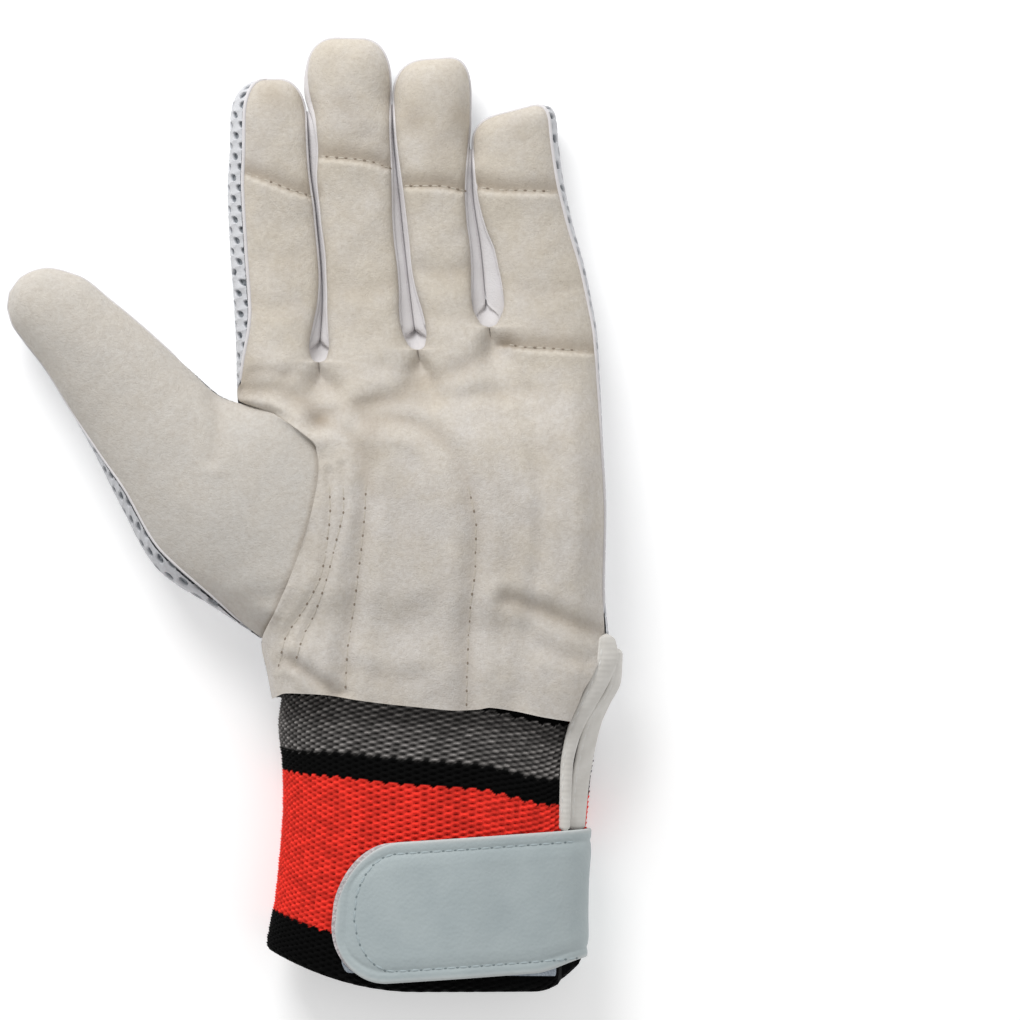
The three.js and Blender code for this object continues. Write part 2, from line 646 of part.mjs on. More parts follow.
// A strip that binds one lip of the slit, from the hand's wrist down to the strap
function binding(rows) {
  const placed = rows.map((row) => ({ ...row, down: -row.y }));
  const [middleX, middleZ, tilts] = ['x', 'z', 'tilt'].map((column) => track(placed, column, 'down'));
  return gridSolid(BINDING.rows, 2, BINDING.thick, (share, across, depth) => {
    const y = mix(rows[0].y, rows.at(-1).y, share);
    const tilt = -tilts(-y);
    const side = (across - 0.5) * BINDING.width;
    const out = BINDING.thick / 2 - depth + (across === 0.5 ? BINDING.bow : 0);
    const x = middleX(-y) + side * Math.cos(tilt) - out * Math.sin(tilt);
    return new THREE.Vector3(x, y, middleZ(-y) + side * Math.sin(tilt) + out * Math.cos(tilt));
  });
}

// A point over the cuff beside a level line: angle round the cuff, q from the lower to the upper edge
function strapPoint(line, angle, q, half, out) {
  let v = STRAP_V;
  let point = cuffPoint(v, angle, out);
  for (let round = 0; round < BAND.rounds; round += 1) {
    const y = line.level + line.slope * (point.x - line.levelX) + q * half;
    v = (y - cuffUpperY(point.x)) / (cuffLowerY(point.x) - cuffUpperY(point.x));
    point = cuffPoint(v, angle, out).setY(y);
  }
  return point;
}

// The angle on the palm side where the cuff's surface has a given x
function angleAt(x) {
  const share = clamp01((x - cuffLeft(STRAP_V)) / (cuffRight(STRAP_V) - cuffLeft(STRAP_V)));
  return Math.acos(1 - 2 * share);
}

// A band over the cuff between two angles, with round ends as long as they are given
function band({ line, from, to, half, roundStart, roundEnd, steps, thickness, out }) {
  return gridSolid(steps, BAND.columns, thickness, (along, share, depth) => {
    const angle = mix(from, to, along ** BAND.crowding);
    const x = cuffPoint(STRAP_V, angle, 0).x;
    const startX = cuffPoint(STRAP_V, from, 0).x;
    const endX = cuffPoint(STRAP_V, to, 0).x;
    const nearStart = clamp01((x - startX) / roundStart);
    const nearEnd = angle > Math.PI ? clamp01((x - endX) / roundEnd) : 1;
    const startWidth = Math.max(BAND.narrowStart, 1 - (1 - nearStart) ** 2);
    const endWidth = Math.max(BAND.narrowEnd, 1 - (1 - nearEnd) ** 2);
    const width = half * Math.sqrt(startWidth * endWidth);
    return strapPoint(line, angle, mix(-1, 1, share), width, out(x, angle) - depth);
  });
}

// The strap stands on its hooks on the palm side, comes down onto the loops past them and then onto the knit
function wristStrap() {
  const pastHooks = (x) => mix(ON_HOOKS, ON_LOOPS, smooth(HOOKS.to, HOOKS.to + HOOKS.fade, x));
  const pastLoops = (x) => mix(pastHooks(x), ON_KNIT, smooth(LOOPS.to, LOOPS.to + LOOPS.fade, x));
  return band({
    line: STRAP,
    from: angleAt(STRAP.start),
    to: 2 * Math.PI - angleAt(STRAP.backX),
    half: STRAP.half,
    roundStart: STRAP.round,
    roundEnd: STRAP.roundBack,
    steps: STRAP.steps,
    thickness: VINYL,
    out: (x, angle) => VINYL + (angle < Math.PI ? pastLoops(x) : ON_KNIT),
  });
}

function hookLining() {
  return band({
    line: STRAP,
    from: angleAt(STRAP.start - HOOKS.past),
    to: angleAt(HOOKS.to - HOOKS.short),
    half: STRAP.half + HOOKS.wider,
    roundStart: STRAP.round,
    roundEnd: BAND.squareEnd,
    steps: HOOKS.steps,
    thickness: HOOKS.thick,
    out: () => HOOKS.face,
  });
}

function loopPatch() {
  return band({
    line: LOOPS,
    from: angleAt(LOOPS.from),
    to: angleAt(LOOPS.to),
    half: LOOPS.half,
    roundStart: LOOPS.round,
    roundEnd: BAND.squareEnd,
    steps: LOOPS.steps,
    thickness: LOOPS.thick,
    out: () => LOOPS.face,
  });
}

// A round plate with a softened upper rim, lying between two heights
function roundPlate(radius, low, high) {
  const profile = [
    new THREE.Vector2(0, low),
    new THREE.Vector2(radius, low),
    new THREE.Vector2(radius, high - BADGE.bevel),
    new THREE.Vector2(radius - BADGE.bevel, high),
    new THREE.Vector2(0, high),
  ];
  return new THREE.LatheGeometry(profile, BADGE.sides).rotateX(Math.PI / 2);
}

const glove = new THREE.Group();

function add(name, geometry, color, roughness) {
  const mesh = new THREE.Mesh(geometry, new THREE.MeshStandardMaterial({ color, roughness, metalness: 0 }));
  mesh.name = name;
  glove.add(mesh);
  return mesh;
}

add('palm_panel', handPanel(SIDES.palm, CHAMOIS), COLOURS.chamois, FINISH.chamois);
add('back_panel', handPanel(SIDES.back, AIR_MESH), COLOURS.mesh, FINISH.mesh);
add('thumb_palm_panel', thumbPanel(SIDES.palm, CHAMOIS), COLOURS.chamois, FINISH.chamois);
add('thumb_back_panel', thumbPanel(SIDES.back, AIR_MESH), COLOURS.mesh, FINISH.mesh);
add('fourchette_index_middle', fourchette(0), COLOURS.jersey, FINISH.jersey);
add('fourchette_middle_ring', fourchette(1), COLOURS.jersey, FINISH.jersey);
add('fourchette_ring_little', fourchette(2), COLOURS.jersey, FINISH.jersey);
add('knitted_cuff', knittedCuff(), COLOURS.knit, FINISH.knit);
add('slit_binding_palm', binding(PALM_BINDING), COLOURS.backing, FINISH.jersey);
add('slit_binding_back', binding(BACK_BINDING), COLOURS.backing, FINISH.jersey);
add('wrist_strap', wristStrap(), COLOURS.vinyl, FINISH.vinyl);
add('strap_hook_lining', hookLining(), COLOURS.loops, FINISH.knit);
add('loop_patch', loopPatch(), COLOURS.loops, FINISH.knit);

const backingPlate = roundPlate(BADGE.backing, BADGE.thick + GAP, 2 * BADGE.thick + GAP);
const backing = add('badge_backing', backingPlate, COLOURS.backing, FINISH.jersey);
const face = add('badge_face', roundPlate(BADGE.face, 0, BADGE.thick), COLOURS.badge, FINISH.badge);
for (const plate of [backing, face]) plate.position.set(BADGE.x, BADGE.y, 0);

export default glove;
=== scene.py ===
import bpy
import numpy as np
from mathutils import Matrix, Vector
from mathutils.bvhtree import BVHTree


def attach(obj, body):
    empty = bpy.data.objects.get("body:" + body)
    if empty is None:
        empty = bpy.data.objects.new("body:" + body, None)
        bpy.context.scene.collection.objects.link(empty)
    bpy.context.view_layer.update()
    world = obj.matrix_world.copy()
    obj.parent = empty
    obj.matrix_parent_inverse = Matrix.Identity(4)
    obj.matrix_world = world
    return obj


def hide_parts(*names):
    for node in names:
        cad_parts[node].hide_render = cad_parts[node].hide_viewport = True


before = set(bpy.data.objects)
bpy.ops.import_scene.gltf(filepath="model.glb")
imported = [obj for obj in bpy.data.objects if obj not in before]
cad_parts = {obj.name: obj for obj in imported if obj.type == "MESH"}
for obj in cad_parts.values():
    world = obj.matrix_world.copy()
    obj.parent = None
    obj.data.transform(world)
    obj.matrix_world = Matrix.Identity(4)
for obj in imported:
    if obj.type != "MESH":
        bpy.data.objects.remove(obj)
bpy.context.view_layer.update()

# Palm leather
# One piece of soft chamois covers the palm and the fronts of the four fingers. It is slit between the
# fingers, quilted onto its padding with rows of stitches, and lies over the thumb's leather at the seam.

MM = 0.001
UP = np.array([0.0, 0.0, 1.0])
LEATHER_THICKNESS = 1.3
# y of the wrist's hem and of the line above which each finger has rows of its own, and the hem's slope
WRIST = -53.0
FREE_LEVEL = 75.0
HEM_FALL = 0.095

# y, height of the middle, rise of the palm, drop of the back
BODY = [
    (-53, 14.5, 15.3, 14.3), (-40, 14.5, 16.4, 14.3), (-31, 14.5, 15.8, 13.4), (-20, 14.5, 17.8, 12.2),
    (0, 14.3, 18.3, 11.7), (20, 13.5, 17.2, 10.9), (36, 12.4, 13.2, 9.8), (46, 11.5, 12.2, 8.9),
    (63, 10.4, 10.2, 7.8), (71, 10.0, 9.7, 9.0), (82, 9.7, 9.6, 9.5), (138, 9.5, 9.2, 9.3),
]
# y, x of the left edge of the palm leather
PALM_LEFT = [
    (-53, -12.2), (-45, -13.8), (-38, -15.2), (-28, -11.0), (-19, -7.0), (-7, -2.6), (4, 0.3), (13, 1.6),
    (19, 0.9), (24, -4.3), (29, -12.5), (33.5, -22.2), (40, -22.5), (49, -22.6), (62, -23.3), (77, -24.4),
    (95, -25.1), (106, -24.5), (138, -24.0),
]
# y, x of the right edge of the hand
HAND_RIGHT = [
    (-53, 82.3), (-45, 85.6), (-38, 87.4), (-31, 85.6), (-20, 84.3), (0, 84.7), (20, 83.8), (38, 82.9),
    (52, 82.1), (61, 80.6), (71, 78.6), (85, 74.8), (99, 71.9), (110, 70.4), (138, 69.4),
]
# Slits between the fingers: end on the palm, end on the back, top of the jersey strip, and y, x of the line
SLITS = [
    (44.0, 70.0, 111.0, [(-53, 10), (0, 19.5), (15, 16), (24, 9), (33, 3.4), (44, 1.5), (62, 2.4),
                         (87, 0.6), (101, -1.2), (138, -3.0)]),
    (47.6, 66.0, 113.0, [(-53, 31), (0, 40), (24, 35), (48, 30.0), (62, 28.1), (90, 25.0), (113, 22.8),
                         (138, 22.2)]),
    (54.2, 58.5, 100.0, [(-53, 52), (0, 62), (24, 59), (54, 50.8), (77, 48.4), (94, 46.1), (111, 45.6),
                         (138, 46)]),
]
# Fingertips: where the sides start to close, the top, how square, how far it leans, how slanted it is
TIPS = [
    (114.0, 126.1, 2.3, 1.0, 0.0),
    (124.0, 138.0, 2.7, 0.7, -0.02),
    (118.5, 132.1, 2.8, 1.9, 0.07),
    (108.0, 117.2, 3.4, 1.2, 0.26),
]
# Distance from the end of a slit, half its width there
SLIT_HALF = [(0, 0), (0.5, 1.5), (1.3, 2.2), (5, 3.0), (11, 2.4), (18, 1.3), (28, 0.6), (60, 0.5)]
# Height of a panel's edge in a slit as a share of its rise, and over how many millimetres that ends above
# the jersey strip
SLIT_SHARE = 0.5
SHARE_END = 9
# How steeply a gap dies out across the finger, as a power
GAP_FALL = 5
# Length over which the edges below a slit grow together at its line, and how much more a finger's width away
GROWN_NEAR, GROWN_FAR = 4, 45
# How square the sections of the palm and of the back are, as powers: the smaller, the squarer
PALM_SQUARE, BACK_SQUARE = 0.82, 0.6
# Rise of the palm's middle over its sides, x of that middle and half the width it takes
CROWN = (2.4, 32, 60)
# y over which each of these sets in: the palm's rise, the leather's turn over the edge above the web and at
# the wrist, the join with the thumb at its base, the hem's slope, the hem's waves and the slant of a tip
CROWN_FROM, WEB_TURN, WRIST_TURN, THUMB_BASE = (52, 10), (35, 38), (-40, -43), (-40, -28)
SLOPE_FROM, WAVES_FROM, SLANT_FROM = (-8, -50), (-34, -52), (96, 112)
# Half the distance between the edges of the palm and the back, and the angle that it takes
HALF_SEAM, SEAM_ANGLE = 0.15, 0.035
# x, how far the hem of the palm leather is drawn up there
HEM_WAVE = [(-12, -0.5), (-8.2, 1.6), (-3.8, 2.0), (3.6, 2.3), (12.9, 1.7), (22, 1.4), (39, 1.3), (47.6, 2.3),
            (51.3, 3.2), (58.6, 2.8), (66, 1.9), (75, 1.3), (84, 1.0)]
# y, angle at the index finger's side, at the little finger's side for the palm, and for the back
EDGE_TURN = [
    (-53, 0.12, 1.04, -0.06), (-45, 0.12, 1.02, -0.06), (-38, 0.12, 0.86, -0.04), (-31, 0.2, 0.40, 0.36),
    (-20, 0.3, 0.28, 0.28), (34, 0.4, 0.3, 0.3), (60, 0.85, 0.35, 0.35), (120, 0.85, 0.55, 0.55),
    (138, 0.5, 0.4, 0.4),
]


def smooth(start, end, t):
    """A step from 0 at start to 1 at end, level at both: 3 s squared less 2 s cubed."""
    s = np.clip((t - start) / (end - start), 0, 1)
    return s * s * (3 - 2 * s)


def track(rows, column=1):
    """A curve through one column of a table over its first column.

    Each span is a cubic whose slope at a row is the harmonic mean of the two chords beside it, or level
    where they change sign, so the curve never overshoots. Past both ends it keeps its last value.
    """
    table = np.array(rows, float)
    at, value = table[:, 0], table[:, column]
    chord = np.diff(value) / np.diff(at)
    product = chord[:-1] * chord[1:]
    total = np.where(product > 0, chord[:-1] + chord[1:], 1)
    slope = np.concatenate([chord[:1], np.where(product > 0, 2 * product / total, 0), chord[-1:]])

    def curve(t):
        t = np.clip(t, at[0], at[-1])
        i = np.clip(np.searchsorted(at, t, side="right") - 1, 0, len(at) - 2)
        span = at[i + 1] - at[i]
        s = (t - at[i]) / span
        rise = value[i + 1] - value[i]
        a, b = slope[i] * span, slope[i + 1] * span
        return value[i] + s * (a + s * (3 * rise - 2 * a - b + s * (a + b - 2 * rise)))

    return curve


body_mid, body_rise, body_drop = track(BODY, 1), track(BODY, 2), track(BODY, 3)
hand_right, slit_half, index_turn = track(HAND_RIGHT), track(SLIT_HALF), track(EDGE_TURN, 1)
slit_middles = [track(slit[3]) for slit in SLITS]
hem_wave = track(HEM_WAVE)
# Distance past the end of each slit, how much earlier the leather stops there on the left and the right
LIPS = [
    [(0, 0, 0), (10.6, 0, -0.5), (20.7, 0.1, 0.4), (30.9, 0.2, 1.0), (41.6, 0.2, 0.7), (51.2, 0.2, 1.0),
     (62.4, 0.2, 2.2), (70, 0.1, 1.9), (78, 0, 0.4), (82, 0, 0)],
    [(0, 0, 0), (5, 0.6, 0.3), (10, 1.4, 0.6), (20, 1.9, 0.5), (32, 2.4, 0.9), (56, 0.8, 0.6), (68, 0.4, 0.3),
     (76, 0, 0)],
    [(0, 0, 0), (3, 0.5, 1.0), (7, 1.2, 2.3), (11, 1.6, 2.8), (16.5, 2.0, 3.2), (22.4, 2.3, 3.1),
     (28.3, 2.5, 1.9), (33.5, 2.2, 1.2), (43, 1.6, 0.4), (52, 0.6, 0.2), (58, 0, 0)],
]
NO_LIPS = [[(0, 0, 0), (1, 0, 0)]] * 3
PALM = {"sign": 1, "left": track(PALM_LEFT), "little": track(EDGE_TURN, 2), "end": 0, "grown": 24,
        "web": (35, 24), "lips": [[track(rows, 1), track(rows, 2)] for rows in LIPS]}


def slit_share(side, slit, y):
    """Height of a panel's edge beside a slit, as a share of its rise: full below the slit's end."""
    end, strip = SLITS[slit][side["end"]], SLITS[slit][2]
    open_share = SLIT_SHARE * (1 - smooth(strip, strip + SHARE_END, y))
    return open_share + (1 - open_share) * smooth(end, end - side["grown"], y)


def grown_together(side, slit, y, apart):
    """0 at and above a slit's end, and 1 below it, where the edges meet in a soft valley. It takes a few
    millimetres at the slit's line and more with the distance from it, as a share of the finger's width."""
    end = SLITS[slit][side["end"]]
    return smooth(end, end - GROWN_NEAR - GROWN_FAR * apart, y)


def thumb_join(side, y):
    """1 where the hand's thumb edge is joined to the thumb, 0 beside the index finger and at the wrist."""
    return smooth(*side["web"], y) * smooth(*THUMB_BASE, y)


def slit_gap(side, slit, lip, y):
    """Distance of a panel's edge from the line of a slit: nothing below its end, wider where jersey shows."""
    past = y - SLITS[slit][side["end"]]
    return np.where(past > 0, slit_half(past) + side["lips"][slit][lip](past), 0)


def hand_surface(side, lobe, y, turn, share, depth):
    """Points of one finger and the strip of hand below it, as whole arrays.

    Across, the angle runs from the panel's first to its last edge: x follows minus its cosine and the
    height its sine to a power, so the section is a flattened half tube. Each side is lifted by a share of
    the height, full where it has grown together with its neighbour. At the fingertip, turn closes length,
    width and height as a rounded square. depth moves the point in from the outer face.
    """
    shoulder, top, square, lean, slant = TIPS[lobe]
    rounding = 2 / square
    y = np.where(turn > 0, shoulder + (top - shoulder - depth) * np.sin(turn) ** rounding, y)

    def inner_edge(slit, lip):
        return slit_gap(side, slit, lip, y) + depth * smooth(0, 1.5, y - SLITS[slit][side["end"]])

    joined = thumb_join(side, y)
    left_end = side["left"](y) + depth * (1 - joined) if lobe == 0 else slit_middles[lobe - 1](y)
    right_end = hand_right(y) - depth if lobe == 3 else slit_middles[lobe](y)
    left_gap = 0 if lobe == 0 else inner_edge(lobe - 1, 1)
    right_gap = 0 if lobe == 3 else inner_edge(lobe, 0)
    wrapped = index_turn(y) * (smooth(*WEB_TURN, y) + smooth(*WRIST_TURN, y))
    first = side["sign"] * wrapped + SEAM_ANGLE if lobe == 0 else 0 * y
    last = side["sign"] * side["little"](y) + SEAM_ANGLE if lobe == 3 else 0 * y
    angle = first + (np.pi - last - first) * share
    narrowing = np.cos(turn * 0.9) ** rounding
    centre = (left_end + right_end) / 2 + lean * (1 - narrowing)
    half = (right_end - left_end) / 2 * narrowing
    u = (1 - np.cos(angle)) / 2
    from_left, from_right = np.clip(1 - u, 0, 1) ** GAP_FALL, np.clip(u, 0, 1) ** GAP_FALL
    x = centre - half * np.cos(angle) + (left_gap * from_left - right_gap * from_right) * narrowing
    over = np.where(np.sin(angle) >= 0, side["sign"], -side["sign"])
    reach = np.where(over > 0, body_rise(y), body_drop(y)) - depth
    crown_rise, crown_x, crown_half = CROWN
    crown = crown_rise * (1 - ((x - crown_x) / crown_half) ** 2) * smooth(*CROWN_FROM, y)
    crown = np.where(over > 0, crown, 0)
    bend = np.abs(np.sin(angle)) ** np.where(over > 0, PALM_SQUARE, BACK_SQUARE)
    across = smooth(0, 1, u)
    apart = np.minimum(u, 1 - u)
    left_soft = 0 if lobe == 0 else grown_together(side, lobe - 1, y, apart)
    right_soft = 0 if lobe == 3 else grown_together(side, lobe, y, apart)
    soft = smooth(0, 0.35, apart)
    bend = bend + (soft - bend) * (left_soft + (right_soft - left_soft) * across)
    left_lift = joined if lobe == 0 else slit_share(side, lobe - 1, y)
    right_lift = 0 if lobe == 3 else slit_share(side, lobe, y)
    lift = left_lift + (right_lift - left_lift) * across
    height = (reach + crown) * (bend + (1 - bend) * lift) * np.cos(turn) ** 0.7
    fall = HEM_FALL * (x + 12) * smooth(*SLOPE_FROM, y)
    if side["sign"] > 0:
        fall = fall - hem_wave(x) * smooth(*WAVES_FROM, y)
    slanted = slant * (x - centre) * smooth(*SLANT_FROM, y)
    z = body_mid(y) + over * (height + HALF_SEAM)
    return np.stack(np.broadcast_arrays(x, y - fall + slanted, z), -1)


def lobe_rows(side, lobe, step, caps):
    """y and turn of the rows of one finger: even steps, closer ones round the slits' ends, then the tip."""
    shoulder = TIPS[lobe][0]
    ends = np.array([slit[side["end"]] for slit in SLITS])
    near = (ends[:, None] + [0, 0.25, 0.6, 1.0, 1.5]).ravel()
    joined = np.unique(np.round(np.concatenate([np.arange(WRIST, FREE_LEVEL, step), near]), 3))
    free = np.linspace(FREE_LEVEL, shoulder, round((shoulder - FREE_LEVEL) / step) + 1)
    y = np.concatenate([joined[joined < FREE_LEVEL], free])
    turn = np.linspace(0, np.pi / 2, caps + 1)[1:]
    return np.concatenate([y, np.full(caps, shoulder)])[:, None], np.concatenate([0 * y, turn])[:, None]


def normals(grid):
    """Unit normals of a grid of points, from the cross product of its two directions."""
    across = np.cross(np.gradient(grid, axis=1), np.gradient(grid, axis=0))
    return across / np.maximum(np.linalg.norm(across, axis=-1, keepdims=True), 1e-9)


def same(points, parts):
    """Indices of the points that are kept where several meet, to one of so many parts of a millimetre, and
    for each point the number of the one that stands for it."""
    _, kept, number = np.unique(np.round(points * parts).astype(int), axis=0, return_index=True,
                                return_inverse=True)
    return kept, number.reshape(-1)


def neighbours(number, closed=False):
    """Faces with four corners between neighbours in a grid of point numbers. Its rows can be closed."""
    here, after = (number, np.roll(number, -1, axis=-1)) if closed else (number[..., :-1], number[..., 1:])
    corners = [here[..., :-1, :], after[..., :-1, :], after[..., 1:, :], here[..., 1:, :]]
    return np.stack(corners, -1).reshape(-1, 4)


def wall(patches):
    """One closed wall from patches, each a grid of outer points, a grid of inner points and its values.

    Points of the patches that meet are merged. Every free edge gets a rim from its outer to its inner
    points. Returns the points, the faces and the values of the points.
    """
    quads, start = [], 0
    for outer, _, _ in patches:
        rows, columns = outer.shape[:2]
        quads.append(neighbours(np.arange(rows * columns).reshape(rows, columns) + start))
        start += rows * columns
    outer, inner = (np.concatenate([patch[i].reshape(-1, 3) for patch in patches]) for i in (0, 1))
    values = np.concatenate([patch[2].reshape(-1, patch[2].shape[-1]) for patch in patches])
    kept, number = same(outer, 1e3)
    quads = number[np.concatenate(quads)]
    edges = quads[:, [0, 1, 1, 2, 2, 3, 3, 0]].reshape(-1, 2)
    _, place, uses = np.unique(np.sort(edges, 1), axis=0, return_index=True, return_counts=True)
    free = edges[place[uses == 1]]
    free = free[free[:, 0] != free[:, 1]]
    count = len(kept)
    rim = np.stack([free[:, 1], free[:, 0], free[:, 0] + count, free[:, 1] + count], -1)
    faces = np.concatenate([quads, quads[:, ::-1] + count, rim])
    return np.concatenate([outer[kept], inner[kept]]), faces, np.concatenate([values[kept]] * 2)


def placed(name, data):
    """A new object in the scene."""
    made = bpy.data.objects.new(name, data)
    bpy.context.scene.collection.objects.link(made)
    return made


def plain_wall(*pairs):
    """Points and faces of a wall that carries no values, from pairs of an outer and an inner grid."""
    return wall([(outer, inner, outer[..., :1]) for outer, inner in pairs])[:2]


def piece(name, points, faces, material, node=None, values=None, crease=50, closed=True):
    """Makes a named piece from points in millimetres and adds its values as attributes of the points.

    A closed body whose volume comes out negative is turned to face outwards. The piece rides on the glove
    and stands for the plain solid of the same place, if there is one.
    """
    faces = faces if isinstance(faces, list) else faces.tolist()
    corners = [list(dict.fromkeys(face)) for face in faces]
    mesh = bpy.data.meshes.new(name)
    mesh.from_pydata(points * MM, [], [face for face in corners if len(face) > 2])
    mesh.validate()
    mesh.calc_loop_triangles()
    triangles = np.zeros(len(mesh.loop_triangles) * 3, int)
    mesh.loop_triangles.foreach_get("vertices", triangles)
    a, b, c = (points[triangles[i::3]] for i in range(3))
    if closed and (a * np.cross(b, c)).sum() < 0:
        mesh.flip_normals()
    mesh.shade_smooth()
    mesh.set_sharp_from_angle(angle=np.radians(crease))
    for key, column in (values or {}).items():
        kind, field = ("FLOAT_COLOR", "color") if column.ndim == 2 else ("FLOAT", "value")
        attribute = mesh.attributes.new(key, kind, "POINT")
        attribute.data.foreach_set(field, column.astype(np.float32).ravel())
    mesh.materials.append(material)
    made = placed(name, mesh)
    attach(made, "root")
    if node:
        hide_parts(node)
    return made


def line(points, count=50):
    """A drawn line through a few points as many: each coordinate is a smooth track over their number."""
    rows = np.column_stack([np.arange(len(points)), np.array(points, float)])
    at = np.linspace(0, len(points) - 1, count)
    return np.stack([track(rows, column)(at) for column in range(1, rows.shape[1])], -1)


def distance(x, y, path):
    """Distance in the plan from each point to a line of short straight pieces."""
    nearest = np.full(np.shape(x), np.inf)
    for (ax, ay), (bx, by) in zip(path[:-1, :2], path[1:, :2]):
        dx, dy = bx - ax, by - ay
        along = np.clip(((x - ax) * dx + (y - ay) * dy) / (dx * dx + dy * dy), 0, 1)
        nearest = np.minimum(nearest, np.hypot(x - ax - along * dx, y - ay - along * dy))
    return nearest


# Rows of stitches across the fingers, from index to little finger, and the one below the little finger
FINGER_ROWS = [
    line([(-22.5, 100.3), (-20.3, 99.3), (-13.2, 96.6), (-6.6, 94.0), (-1.0, 92.3)]),
    line([(1.2, 103.8), (8.1, 103.3), (15.3, 102.4), (22.0, 100.4)]),
    line([(25.6, 95.2), (34.7, 95.2), (44.8, 93.6)]),
    line([(47.8, 94.9), (53.8, 94.0), (70.2, 93.6)]),
    line([(56.0, 49.2), (60.5, 48.5), (70, 47.9), (81.5, 47.0)]),
]
# The two rows along the thumb seam, and the two quilting rows that arch over the heel of the palm
SEAM_ROWS = [
    line([(4.6, 12), (5.0, 1.8), (4.4, -5.4), (2.6, -16.5), (0, -22.7), (-3.6, -28.9), (-8.0, -36.0),
          (-10, -44)]),
    line([(8.4, 14), (8.9, 3.3), (7.9, -3.4), (6.7, -7.8), (4.6, -16.5), (3.3, -20.8), (0.5, -28.5),
          (-2.8, -35.4), (-5.5, -44)]),
]
QUILT_ROWS = [
    line([(1.5, 26.6), (5.5, 25.6), (9.8, 23.4), (13.6, 18.5), (15.3, 10.1), (15.1, 3.3), (14.1, -9.2),
          (13.1, -16.5), (12.2, -24), (11, -32.1), (9.9, -40), (9.3, -51)]),
    line([(14.5, 27.6), (23.2, 27.6), (32.8, 24.6), (40, 17.8), (44.4, 9.1), (47, -4.3), (46.8, -15),
          (45.4, -27.5), (44.6, -42), (44.3, -56)]),
]
# Creases: the line, how deep, how wide and how dark it is painted, as painted shade along the crease
CREASES = [
    (line([(14, 31.0), (22, 33.4), (28.7, 37.4), (40, 40.6), (49.9, 46.2), (56, 48)]), 1.2, 2.6, 0.6),
    (line([(1, 26.9), (8, 30.4), (17, 32.6), (30, 33.4), (46, 34.5), (62, 35.6)]), 0.9, 2.2, 0.35),
    (line([(-22.0, 37.0), (-16, 36.2), (-10, 36.0), (-4, 33.0), (2, 28)]), 1.7, 2.6, 0.8),
    (line([(-21, 40.5), (-14, 41.5), (-8, 40.2)]), 0.8, 1.8, 0.5),
    (line([(-6, 41), (0, 38), (6, 37)]), 0.8, 2.4, 0.4),
    (line([(20, 43), (26, 41.5), (31, 43)]), 0.7, 2.2, 0.3),
    (line([(56, -24.5), (63, -26.4), (70, -29.3), (78, -32.4), (86, -34.4)]), 1.5, 2.2, 0.8),
    (line([(66, -38.5), (76, -42), (84, -43.5)]), 0.6, 1.8, 0.3),
    (line([(-7, -42.0), (-3, -44.8), (2, -48.4), (7, -52)]), 1.5, 1.7, 0.8),
    (line([(14, -45), (22, -47.5), (30, -47)]), 0.5, 2.4, 0.2),
    (line([(-20, 62), (-12, 60), (-4, 61)]), 0.5, 2.6, 0.25),
    (line([(-19, 75), (-12, 74), (-5, 75.5)]), 0.35, 2.6, 0.15),
    (line([(6, 66), (14, 65), (23, 66.5)]), 0.5, 2.8, 0.3),
    (line([(31, 71), (38, 70), (46, 72)]), 0.6, 2.6, 0.4),
    (line([(33, 58), (40, 56.5), (47, 58.5)]), 0.5, 2.4, 0.3),
    (line([(55, 66), (64, 64.5), (76, 66)]), 0.45, 2.6, 0.25),
    (line([(9, 108), (15, 109.5), (21, 108)]), 0.3, 2.2, 0.2),
]
# Patches painted darker on the leather: soil on the fingers near their tips, and painted shade lower
# on the palm. x, y, radius and how dark
PATCHES = [
    (-12, 121.5, 4.5, 0.4), (12.5, 113.5, 5.0, 0.3), (8.0, 119.5, 3.5, 0.25), (29, 114.5, 4.5, 0.45),
    (42, 117.0, 4.0, 0.35), (37, 105.5, 6.0, 0.2), (16.5, 24.5, 3.4, 0.4), (18.0, 17.0, 3.2, 0.3),
    (18.5, 7.0, 3.5, 0.2), (-17, 44, 4.5, 0.25), (33, 0, 9.0, 0.1), (62, -12, 9.0, 0.12), (60, 112, 4, 0.2),
]
# Length of a scallop, which is that of a stitch, and depth and half width of the valleys of the other rows
SCALLOP = 2.7
SEAM_VALLEY, QUILT_VALLEY = (0.5, 1.1), (1.5, 2.6)


def valley(gap, depth, reach):
    """A soft valley over the distance from its line, with a low ridge on either side."""
    return 0.35 * depth * np.exp(-((gap - 2.3 * reach) / reach) ** 2) - depth * np.exp(-(gap / reach) ** 2)


